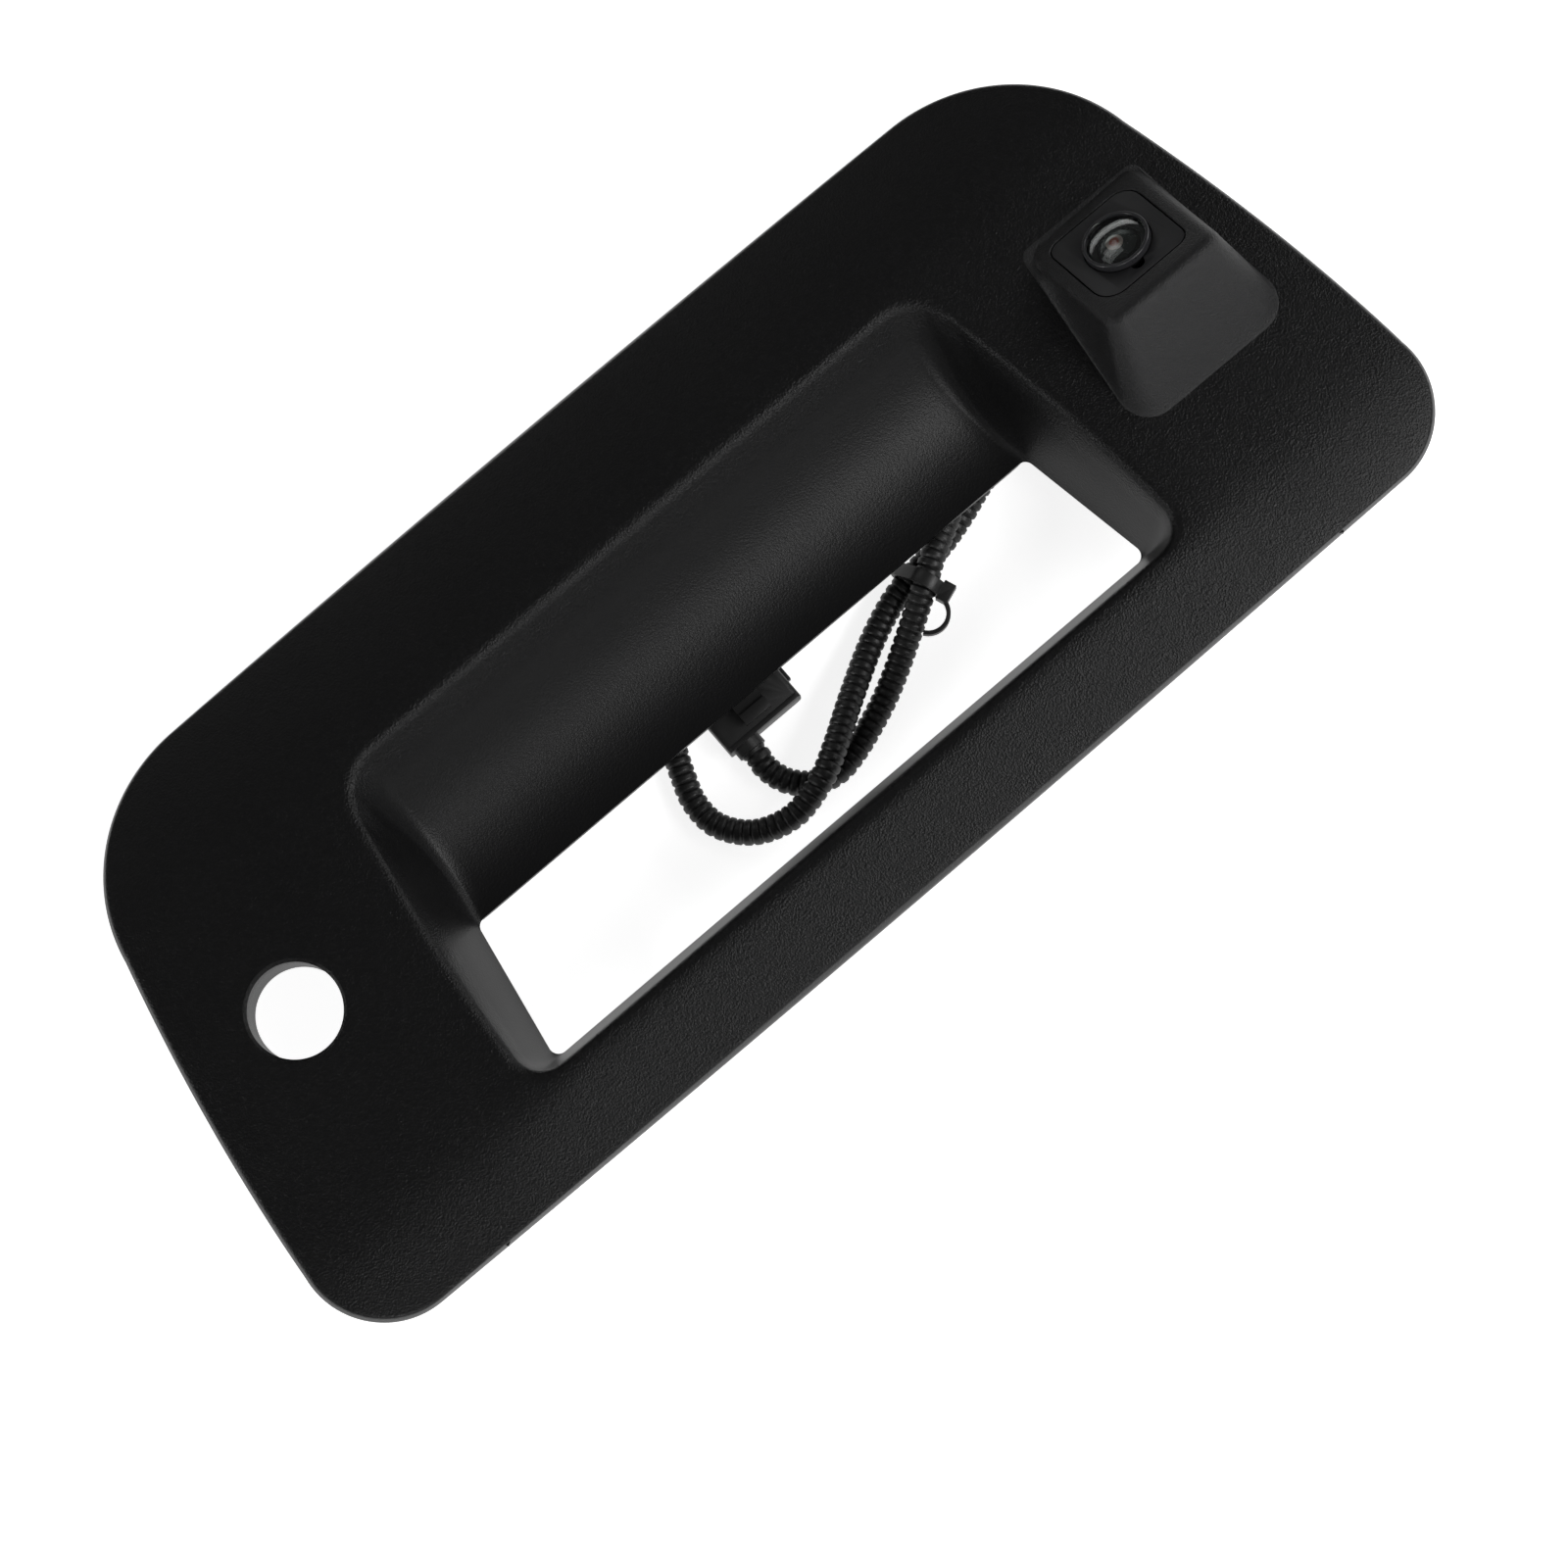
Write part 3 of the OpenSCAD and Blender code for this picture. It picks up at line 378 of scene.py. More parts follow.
# %% Heights of the face and of the pocket
EDGE_Z, CROWN, WALL, ROLL, POCKET_D, BACK_Z = 37, 6.4, 2.5, 2.6, 27.2, 31
CREST_Z = EDGE_Z + CROWN
END_DROP, SCOOP_CURVE, COVE = 3, 2.1, 0.9
OPEN_LOW, RIM_LOW = OPEN_TOP - OPEN_H, RIM_TOP - RIM_H
CROWN_FROM = RIM_TOP + 3.2              # above this the face slopes to the upper edge
SOFT_MID, SOFT_MORE = 0.1, 0.45         # how soft that turn is, and how much more at the ends
SOFT_FROM, SOFT_OVER = 90, 38           # the ends begin here, and reach their full in this
WIDER_ROLL, WIDE_FROM, WIDE_OVER = 1.4, 38, 10      # the rim's roll is wider at the top



def past(v, start, end):
    return max(0, (v - start) / (end - start)) ** 2


def ramp(v, start, end, soft):
    """Level before start, then a straight slope that falls by 1 at end."""
    t = (v - start) / (end - start)
    return (t + math.hypot(t, soft)) / (1 + math.hypot(1, soft))


def face_at(x, y):
    """Height of the face: flat round the pocket, curved down to the edges."""
    soft = SOFT_MID + SOFT_MORE * max(0, min(1, (abs(x) - SOFT_FROM) / SOFT_OVER)) ** 2
    return (CREST_Z - CROWN * (ramp(y, CROWN_FROM, BEZEL_H / 2, soft)
                               + past(-y, -RIM_LOW, BEZEL_H / 2))
            - END_DROP * past(abs(x), RIM_L / 2, BEZEL_L / 2))


def blend(a, b):
    """The lesser of two depths, with a cove where they meet that narrows as it gets deep."""
    least = min(a, b)
    k = COVE * (1.05 - 0.75 * min(1, least))
    return least - max(0, k - abs(a - b)) ** 2 / (4 * k)


def depth_at(x, y):
    """Depth of the pocket, 0 at its rim's height and 1 at the opening's."""
    v = max(0, min(1, (y - RIM_LOW) / (OPEN_LOW - RIM_LOW)))
    scoop = 1 - (1 - v) ** SCOOP_CURVE
    rim_x = RIM_L / 2 - RIM_TAPER * (RIM_TOP - y) / RIM_H
    open_x = OPEN_L / 2 - OPEN_TAPER * (OPEN_TOP - y) / OPEN_H
    end = (rim_x - abs(x)) / (rim_x - open_x)
    return blend(scoop, blend(end, (RIM_TOP - y) / (RIM_TOP - OPEN_TOP)))


def pocket_z(i, t):
    """Height on the way from the rim to the opening at one station."""
    depth = (depth_at(*lerp(rim[i], opening[i], t)) - depth_at(*rim[i]) * (1 - t) ** 3
             + (1 - depth_at(*opening[i])) * t ** 2)
    return CREST_Z - POCKET_D * depth


# %% [markdown]
# ## From skirt to back edge
# A cut through the wall at one station tells the whole moulding: up the skirt, round the
# rolled edge, over the crown, round the rim and down into the pocket. A subdivision
# surface would round every edge alike, so we place each roll's points one by one instead.

# %% One section of the moulding
# From the skirt to the face, how far in from the outline and how far down.
EDGE_FORM = [(0, 3.2), (0.06, 2.75), (0.24, 2.2), (0.48, 1.65), (0.72, 1.1), (0.96, 0.58),
             (1.2, 0.2), (1.55, 0.03), (2.3, 0)]


def front_line(i):
    """The front at one station, from the foot of the skirt to the opening's edge."""
    o, c, e = outline[i], rim[i], opening[i]
    face_l, wall_l = math.dist(o, c), math.dist(c, e)
    roll_in = ROLL + WIDER_ROLL * max(0, min(1, (c[1] - WIDE_FROM) / WIDE_OVER))
    u1 = 1 - roll_in / face_l
    t0 = ROLL / math.hypot(wall_l, (CREST_Z - pocket_z(i, 0.02)) / 0.02)
    start, end = lerp(o, c, EDGE_FORM[-1][0] / face_l), lerp(o, c, u1)
    q0, q1 = (*end, face_at(*end)), (*c, CREST_Z)
    q2 = (*lerp(c, e, t0), pocket_z(i, t0))
    line = [(*o, BACK_Z)]
    for inset, drop in EDGE_FORM:
        p = lerp(o, c, inset / face_l)
        line.append((*p, face_at(*p) - drop))
    line += [(*p, face_at(*p)) for p in (lerp(start, end, t) for t in span(14)[1:])]
    line += [bezier(q0, q1, q2, t) for t in span(8)[1:]]
    line += [(*lerp(c, e, t), pocket_z(i, t)) for t in (t0 + (1 - t0) * s for s in span(18)[1:])]
    return line


fronts = [front_line(i) for i in range(STATIONS)]
LAST = len(fronts[0]) - 1
BACK_PICKS = [LAST, LAST - 6, LAST - 12, LAST - 18, 23, 20, 12, 9]


def section(i):
    """Front and back of the moulding at one station, as one closed line."""
    line = fronts[i]
    before, after = fronts[i - 1], fronts[(i + 1) % STATIONS]
    backs = []
    for j in BACK_PICKS:
        along = Vector(after[j]) - Vector(before[j])
        across = Vector(line[min(j + 1, LAST)]) - Vector(line[j - 1])
        backs.append(tuple(Vector(line[j]) - WALL * along.cross(across).normalized()))
    o, c = Vector(outline[i]), Vector(rim[i])
    inner = o + (c - o).normalized() * WALL
    return line + backs + [(inner.x, inner.y, face_at(*o) - WALL), (inner.x, inner.y, BACK_Z)]


sections = [section(i) for i in range(STATIONS)]
bezel = loft("bezel_moulding", sections)
print("bezel loft:", triangles(bezel), "triangles")

# %% [markdown]
# ## What the bezel carries behind
# Turned over, such a moulding shows ribs, towers for its spring clips, locating pins,
# screw bosses, the collar of the lock bore and a flat pad where the camera's hood is
# screwed on. Each is a primitive set in the wall, its top inside the moulding.

# %% Heights and directions on the bezel
def both(number):
    """A CAD station in our finer count, and the one opposite."""
    return number * FINE, STATIONS - number * FINE


def spot(i, u):
    x, y = lerp(outline[i], rim[i], u)
    return x, y, face_at(x, y)


def inward(i):
    """Turn of the direction square to the bezel's edge at a station."""
    a, b = outline[i - FINE], outline[(i + FINE) % STATIONS]
    return math.atan2(b[0] - a[0], a[1] - b[1])


STAND_H, ROOT, FIT = 36, 1.25, 0.15
LOCK = (138.4, -1.1)
LOCK_R, LOCK_WALL, LOCK_L = 12, 2.2, 15
lock_top = face_at(*LOCK)
print("face over the lock bore:", round(lock_top, 2), "mm")

# %% [markdown]
# ## Plain solids for the back
# What stands behind the face is built from boxes, round posts and cut prisms. Each is
# made by an operator, settled at the origin and later joined or cut by a boolean, so
# that the moulding stays one closed piece.

# %% Blocks, posts and prisms
def block(name, size, place, turn=0):
    """A box of that size standing on its place, turned about the upright."""
    bpy.ops.mesh.primitive_cube_add(size=1, location=(0, 0, 0))
    piece = bpy.context.object
    piece.name = name
    piece.scale = metres(size)
    piece.rotation_euler.z = turn
    piece.location = metres((place[0], place[1], place[2] + size[2] / 2))
    return settle(piece)


def post(name, r, z0, z1, place, r_top=None, sides=48):
    bpy.ops.mesh.primitive_cone_add(vertices=sides, radius1=r * MM, radius2=(r_top or r) * MM,
                                    depth=(z1 - z0) * MM,
                                    location=metres((place[0], place[1], (z0 + z1) / 2)))
    piece = bpy.context.object
    piece.name = name
    return settle(piece)


def ring_at(points, z):
    return [(x, y, z(x, y) if callable(z) else z) for x, y in points]


def prism(name, points, z0, z1):
    return loft(name, [ring_at(points, z0), ring_at(points, z1)], closed=False, caps=True)


def joined(name, pieces):
    pick(*pieces)
    bpy.ops.object.join()
    bpy.context.object.name = name
    return bpy.context.object


def cut(piece, tool, self_too=False):
    apply_modifier(piece, "BOOLEAN", object=tool, operation="DIFFERENCE", solver="EXACT",
                   use_self=self_too)
    bpy.data.objects.remove(tool)
    return piece


# %% [markdown]
# ## What holds the bezel on
# Six towers carry the spring clips, two pins find their holes in the tailgate, two bosses
# take screws, and thin ribs keep the face from sagging. Their places are the CAD model's.

# %% Towers, pins, bosses and ribs
TOWER_SPOTS = [(4, 0.45), (14, 0.5), (41, 0.6)]
TOWER_T, TOWER_W, CLIP_T, RIB_T = 2.6, 13, 0.6, 1.8
backing = []
for number, u in TOWER_SPOTS:
    for i in both(number):
        x, y, z = spot(i, u)
        foot = CLIP_T + FIT
        backing.append(block("tower", (TOWER_T, TOWER_W, z - ROOT - foot), (x, y, foot),
                             inward(i)))
        web = STAND_H / 2.4
        backing.append(block("web", (8, RIB_T, z - ROOT - web), (x, y, web), inward(i)))
for i in both(34):
    x, y, z = spot(i, 0.45)
    backing.append(post("pin", 3, STAND_H - 16, z - ROOT, (x, y)))
    backing.append(post("pin_tip", 1.8, STAND_H - 18, STAND_H - 16, (x, y), r_top=3))
for i in both(38):
    x, y, z = spot(i, 0.6)
    boss = post("boss", 4.2, STAND_H - 9, z - ROOT, (x, y))
    backing.append(cut(boss, post("pilot", 1.6, STAND_H - 10, STAND_H, (x, y))))


def rib(i):
    """A rib from the skirt to the pocket's wall, its top inside the face's wall."""
    o, c, e = Vector(outline[i]), Vector(rim[i]), Vector(opening[i])
    ahead = (c - o).normalized()
    face_l, wall_l, z0 = (c - o).length, (e - c).dot(ahead), STAND_H - 3
    below = min(t for t in span(100) if pocket_z(i, t) <= z0)
    profile = [(ROOT, z0), (face_l + below * wall_l - ROOT, z0)]
    for u in (1, 0.9, 0.8, 0.7, 0.6, 0.5, 0.4, 0.3, 0.2, 0.12, 0):
        d = max(ROOT, u * face_l - (ROOT if u == 1 else 0))
        profile.append((d, face_at(*lerp(outline[i], rim[i], u)) - ROOT))
    across = Vector((-ahead.y, ahead.x)) * RIB_T / 2
    rings = [[(*(o + ahead * d + across * s), z) for d, z in profile] for s in (-1, 1)]
    return loft("rib", rings, closed=False, caps=True)


RIBS = [2, 6, 39, 44]       # in pairs, and one more behind the lock's end
rib_stations = [i for n in RIBS for i in both(n)] + [both(26)[0]]
backing += [rib(i) for i in rib_stations]
print("pieces behind the face:", len(backing))

# %% [markdown]
# ## Rounded outlines
# Window, pad, seam and hood are all rounded four-sided lines. One helper draws them
# with the same count of points every time, so that any two can be lofted together.

# %% Rounded outlines
CORNER_STEPS, SIDE_STEPS = 8, 12


def rounded_ring(corners, radii):
    """A counterclockwise outline with rounded corners, always with as many points."""
    arcs = []
    for i, p in enumerate(corners):
        p = Vector(p)
        q = (Vector(corners[i - 1]) - p).normalized()
        n = (Vector(corners[(i + 1) % len(corners)]) - p).normalized()
        half = math.acos(max(-1, min(1, q.dot(n)))) / 2
        centre = p + (q + n).normalized() * radii[i] / math.sin(half)
        start = p + q * radii[i] / math.tan(half) - centre
        a0, sweep = math.atan2(start.y, start.x), math.pi - 2 * half
        arcs.append([(centre.x + radii[i] * math.cos(a0 + sweep * t),
                      centre.y + radii[i] * math.sin(a0 + sweep * t)) for t in span(CORNER_STEPS)])
    ring = []
    for i, arc in enumerate(arcs):
        ring += arc
        nxt = arcs[(i + 1) % len(arcs)][0]
        ring += [lerp(arc[-1], nxt, k / SIDE_STEPS) for k in range(1, SIDE_STEPS)]
    return ring


POD_W, POD_H, POD_FLANGE, POD_WALL = 35.2, 40.5, 4.6, 2.2
PAD_Z, FLANGE_T = 33, 1.8
FRONT_LOW = POD_H / 2 - 2.8
FRONT_OUT = POD_W / 2 + 1.3
FOOT_LOW = POD[1] - FRONT_LOW * math.cos(TILT)
FOOT_TOP, FOOT_TOP_R = POD[1] + 38.7, 8
FOOT_LOW_W, FOOT_TOP_W = POD_W / 2 + 0.8, POD_W / 2 + 7.6


def pod_foot(grow, low_r=2.6):
    """The hood's outline on the face, grown outward or, below 0, inward."""
    x0, x1 = POD[0] - FOOT_LOW_W - grow, POD[0] + FOOT_LOW_W + grow
    x2, x3 = POD[0] + FOOT_TOP_W + grow, POD[0] - FOOT_TOP_W - grow
    low, top = FOOT_LOW - grow, FOOT_TOP + grow
    return rounded_ring([(x0, low), (x1, low), (x2, top), (x3, top)],
                        [low_r + grow, low_r + grow, FOOT_TOP_R + grow, FOOT_TOP_R + grow])


# %% [markdown]
# ## Where the lock and camera come through
# The lock's bore has a collar and a broken edge, and the hood sits in a window with a
# flat pad round it. We add the solids first and then cut with a tool of the right form,
# as a machine would, so that no rib is left standing in a hole.

# %% Pad, collar, window and bore
def under_face(depth):
    return lambda x, y: face_at(x, y) - depth


pad = loft("pad", [ring_at(pod_foot(POD_FLANGE), PAD_Z),
                   ring_at(pod_foot(POD_FLANGE), under_face(1.2))], closed=False, caps=True)
collar = post("collar", LOCK_R + LOCK_WALL, lock_top - LOCK_L, lock_top - ROOT, LOCK, sides=72)
bezel = joined("bezel_moulding", [bezel, pad, collar])
bezel = cut(bezel, prism("window", pod_foot(FIT), PAD_Z - 2, 55), self_too=True)


def bore_tool():
    return post("bore", LOCK_R, lock_top - LOCK_L - 3, lock_top + 4, LOCK, sides=96)


bezel = cut(bezel, bore_tool())
backing[-1] = cut(backing[-1], bore_tool())      # the last rib crosses the bore
lean = math.atan2(face_at(LOCK[0] - 5, LOCK[1]) - face_at(LOCK[0] + 5, LOCK[1]), 10)
broken = post("broken_edge", LOCK_R - 3, -3.9, 1.1, (0, 0), r_top=LOCK_R + 2, sides=96)
broken.location = metres((*LOCK, lock_top))
broken.rotation_euler.y = lean
bezel = cut(bezel, settle(broken))
bezel = joined("bezel_moulding", [bezel] + backing)
smooth(bezel, 40)
stands_for(bezel, "bezel_shell")
print("bezel:", triangles(bezel), "triangles")

# %% [markdown]
# ## The hood
# The hood is one thin moulding. Its front is a plane square to the lens, its sides
# spread to a foot that follows the crowned face, and every ridge is soft. We loft it
# from the seam round the camera out over the front, down the sides, round a flange
# behind the bezel and back up inside, so that it is a closed wall throughout.

# %% Rings of the hood
def from_pod(p):
    """A point of the lens's own frame, where z is 0 at the hood's front, in the row frame."""
    x, y, z = p
    return (POD[0] + x, POD[1] + y * math.cos(TILT) - z * math.sin(TILT),
            POD[2] + y * math.sin(TILT) + z * math.cos(TILT))


def tilted_box(x0, x1, y0, y1, radii, z):
    """A rounded box drawn in the lens's own frame."""
    corners = [(x0, y0), (x1, y0), (x1, y1), (x0, y1)]
    return [from_pod((x, y, z)) for x, y in rounded_ring(corners, radii)]


def above_face(ring, lift):
    """A ring whose points never sink below the bezel's face."""
    return [(x, y, max(z, face_at(x, y) + lift)) for x, y, z in ring]


FACE_W, SEAM = 26.4, 0.35
FACE_R = [5.3, 3.2, 6, 3.2]
EDGE_R, FRONT_R = 3.4, 4.4      # the roll round the front, and the front's corners
LOW_SHARE = 0.4                 # the roll is narrower along the low edge
ROLL_END = math.radians(78)     # where the roll meets the sides
ABOVE = 0.1                     # the hood clears the bezel's face by this
LIP = 0.35                      # width of the foot's edge


def front_ring(inset, radius, z):
    """A ring of the hood's front, which reaches further toward the bezel's end than inward."""
    return tilted_box(inset - FRONT_OUT, POD_W / 2 - inset, LOW_SHARE * inset - FRONT_LOW,
                      POD_H / 2 - inset, [radius] * 4, z)


def seam_ring(grow, z):
    half = FACE_W / 2 + grow
    return tilted_box(-half, half, -half, half, [r + grow for r in FACE_R], z)


hood_rings = [seam_ring(SEAM, -POD_WALL), seam_ring(SEAM, -0.3), seam_ring(SEAM + 0.12, -0.06),
              seam_ring(SEAM + 0.35, 0)]
front_edge = front_ring(EDGE_R, FRONT_R - EDGE_R, 0)
hood_rings += [above_face([lerp(a, b, t) for a, b in zip(hood_rings[3], front_edge)], ABOVE)
               for t in (0.35, 0.7, 1)]
for t in span(7)[1:]:
    a = t * ROLL_END
    inset = EDGE_R * (1 - math.sin(a))
    hood_rings.append(above_face(
        front_ring(inset, FRONT_R - inset, -EDGE_R * (1 - math.cos(a))), ABOVE))
shoulder = hood_rings[-1]
foot = [(x, y, face_at(x, y) + ABOVE) for x, y in pod_foot(0)]
lip = [(x, y, face_at(x, y) + 0.06) for x, y in pod_foot(LIP)]
for t in span(9)[1:-1]:
    hood_rings.append([lerp(a, b, t * (1 - min(0.5, 2.2 / max(math.dist(a, b), 0.1))))
                       for a, b in zip(shoulder, foot)])
bend = hood_rings[-1]
hood_rings += [[bezier(a, b, c, t) for a, b, c in zip(bend, foot, lip)] for t in span(6)[1:]]
hood_rings += [ring_at(pod_foot(LIP), under_face(0.25)), ring_at(pod_foot(0.02), under_face(0.3)),
               ring_at(pod_foot(0), PAD_Z - 0.02), ring_at(pod_foot(POD_FLANGE), PAD_Z - 0.02),
               ring_at(pod_foot(POD_FLANGE), PAD_Z - FLANGE_T),
               ring_at(pod_foot(-POD_WALL, 2.4), PAD_Z - FLANGE_T),
               ring_at(pod_foot(-POD_WALL, 2.4), STAND_H)]
hood_rings += [front_ring(POD_WALL, 1.2, -POD_WALL - 0.6), front_ring(3, 1, -POD_WALL)]
hood = smooth(loft("camera_hood", hood_rings), 50)
stands_for(hood, "pod_housing")
print("hood:", triangles(hood), "triangles")

# %% [markdown]
# ## The camera's face and lens
# A flat plate fills the seam, and the lens stands in a round well in it. The lens is
# round about one axis, so we turn it as on a lathe, from a half profile, by Spin.

# %% Spin a turned part
TURN_STEPS = 96


def turned(name, profile, centre=(0, 0, 0)):
    """Spins a closed profile of (radius, height) in millimetres about the lens's axis."""
    deselect()
    mesh = bpy.data.meshes.new(name)
    count = len(profile)
    mesh.from_pydata([(r * MM, 0, z * MM) for r, z in profile],
                     [(k, (k + 1) % count) for k in range(count)], [])
    piece = bpy.data.objects.new(name, mesh)
    bpy.context.scene.collection.objects.link(piece)
    pick(piece)
    bpy.ops.object.mode_set(mode="EDIT")
    bpy.ops.mesh.select_all(action="SELECT")
    bpy.ops.mesh.spin(steps=TURN_STEPS, angle=2 * math.pi, center=(0, 0, 0), axis=(0, 0, 1))
    bpy.ops.mesh.select_all(action="SELECT")
    bpy.ops.mesh.remove_doubles(threshold=1e-6)
    bpy.ops.mesh.normals_make_consistent(inside=False)
    bpy.ops.object.mode_set(mode="OBJECT")
    piece.rotation_euler.x = TILT
    piece.location = metres(from_pod(centre))
    return settle(piece)


def arc(cx, cz, r, a0, a1, steps):
    return [(cx + r * math.cos(math.radians(a0 + (a1 - a0) * t)),
             cz + r * math.sin(math.radians(a0 + (a1 - a0) * t))) for t in span(steps)]


def bowl(apex, r, rise, steps, rear=False):
    """Half the section of a domed surface, from the axis out or from the edge in."""
    ball = (r * r + rise * rise) / (2 * rise)
    line = [(ball * math.sin(a), apex - ball * (1 - math.cos(a)))
            for a in (math.asin(r / ball) * t for t in span(steps))]
    return line[::-1] if rear else line


# %% [markdown]
# ## The lens
# A wide lens is a stack of turned parts. The ring stands a little proud, the dome is a
# clear meniscus, and under it we see a coated element with a reddish pupil. Modelling
# them apart costs little and gives the depth that a painted disc lacks.

# %% Lens ring, dome and elements
RING_Z = 1.8
BARREL_R, GLASS_R = 8.75, 7.7
ring_profile = ([(GLASS_R, RING_Z - 2), (BARREL_R, RING_Z - 2)]
                + arc(BARREL_R - 0.4, RING_Z - 0.4, 0.4, 0, 90, 6)
                + arc(BARREL_R - 0.7, RING_Z - 0.25, 0.25, 90, 150, 4) + [(GLASS_R, RING_Z - 1)])
lens_ring = smooth(turned("lens_ring_turned", ring_profile), 40)
DOME_RIM = RING_Z - 0.9
dome = smooth(turned("lens_dome_turned",
                     bowl(DOME_RIM + 2.1, GLASS_R - 0.05, 2.1, 20)
                     + bowl(DOME_RIM + 1.2, GLASS_R - 0.05, 1.9, 16, rear=True)), 50)
SLEEVE_END = -15
barrel_profile = [(BARREL_R, RING_Z - 2), (BARREL_R, SLEEVE_END), (3.4, SLEEVE_END),
                  (3.4, SLEEVE_END + 1.2), (4.7, SLEEVE_END + 1.2), (4.7, SLEEVE_END + 4.4),
                  (5.6, SLEEVE_END + 4.4), (5.6, RING_Z - 3.1), (6.1, RING_Z - 3.0),
                  (6.1, RING_Z - 2.6), (6.6, RING_Z - 2.5), (GLASS_R, RING_Z - 2.3),
                  (GLASS_R, RING_Z - 2)]
barrel = smooth(turned("lens_barrel_turned", barrel_profile), 30)
inner_lens = smooth(turned("lens_inner_turned", bowl(RING_Z - 0.75, 4.9, 1.5, 14)
                           + bowl(RING_Z - 2.6, 4.9, 0.8, 12, rear=True)), 50)
seat = place_on("pupil", inner_lens)
away = (seat - Vector(metres(POD))) / MM
centre = (away.x, away.y * math.cos(TILT) + away.z * math.sin(TILT),
          away.z * math.cos(TILT) - away.y * math.sin(TILT))
pupil = smooth(turned("lens_pupil_turned", bowl(0.2, 2.2, 0.3, 10)
                      + bowl(-0.25, 2.2, 0.1, 6, rear=True), centre=centre), 50)
print("pupil sits at", [round(v, 2) for v in centre], "in the lens's frame")
stands_for(lens_ring, "lens_ring")
stands_for(dome, "lens_dome")
stands_for(barrel, "lens_barrel")
stands_for(inner_lens, "lens_inner")
stands_for(pupil, "lens_rear")
print("dome:", triangles(dome), "triangles")

# %% [markdown]
# ## Small rigid pieces
# The camera's body, its screws, the spring clips and the plug already have the right
# form as solids. They only lack the small broken edges that catch the light, so each
# gets a merged copy with its flat faces joined and its edges bevelled.

# %% Break the edges of a copy
def dressed(node, name, bevel, slot, segments=2, body="bezel"):
    """A copy of a CAD piece with its edges broken by so many millimetres."""
    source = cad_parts[node]
    mesh = source.data.copy()
    piece = bpy.data.objects.new(name, mesh)
    mesh.name = name
    bpy.context.scene.collection.objects.link(piece)
    pick(piece)
    bpy.ops.object.mode_set(mode="EDIT")
    bpy.ops.mesh.select_all(action="SELECT")
    bpy.ops.mesh.remove_doubles(threshold=2e-6)
    bpy.ops.mesh.dissolve_limited(angle_limit=math.radians(0.6))
    bpy.ops.object.mode_set(mode="OBJECT")
    if mesh.has_custom_normals:
        bpy.ops.mesh.customdata_custom_splitnormals_clear()
    if bevel:
        apply_modifier(piece, "BEVEL", width=bevel * MM, segments=segments, limit_method="ANGLE",
                       angle_limit=math.radians(40), use_clamp_overlap=True)
    smooth(piece, 35)
    stands_for(piece, node, body)
    return piece


small = {node: dressed(node, *rest) for node, *rest in (
    ("camera_face", "camera_plate", 0.25, "camera_black", 3),
    ("camera_body", "camera_case", 0.2, "camera_black"),
    ("rear_cover", "camera_back", 0.3, "camera_black"),
    ("cable_boot", "lead_boot", 0.3, "rubber_black"),
    ("cable_tie", "lead_tie", 0.12, "nylon_black"),
    ("plug_housing", "plug_body", 0.22, "plug_black"),
    ("plug_cap", "plug_rear", 0.25, "plug_black"),
    ("plug_latch", "plug_lever", 0.2, "plug_black", 2, "latch"),
    ("plug_slide", "plug_lock", 0.15, "slide_red", 2, "slide"),
    *[(f"spring_clip_{k}", f"clip_{k}", 0.1, "spring_steel") for k in range(1, 7)],
    *[(f"{kind}_screw_{k}", f"{kind}_fixing_{k}", 0.15, "zinc_steel")
      for kind in ("camera", "pod") for k in range(1, 5)])}
print("dressed pieces:", len(small))

# %% [markdown]
# ## Finishes
# Each finish is built from nodes by two small helpers. One wraps a socket, so that
# arithmetic on it reads as Python; the other adds any node in one line.

# %% A socket that does sums, and a way to add nodes
class Value:
    """One output of a node. Sums on it add Math nodes."""

    def __init__(self, finish, socket):
        self.finish, self.socket = finish, socket

    def sum(self, operation, other):
        return self.finish.node("ShaderNodeMath", {"operation": operation}, {0: self, 1: other})

    def __add__(self, other):
        return self.sum("ADD", other)

    def __mul__(self, other):
        return self.sum("MULTIPLY", other)

    __radd__, __rmul__ = __add__, __mul__


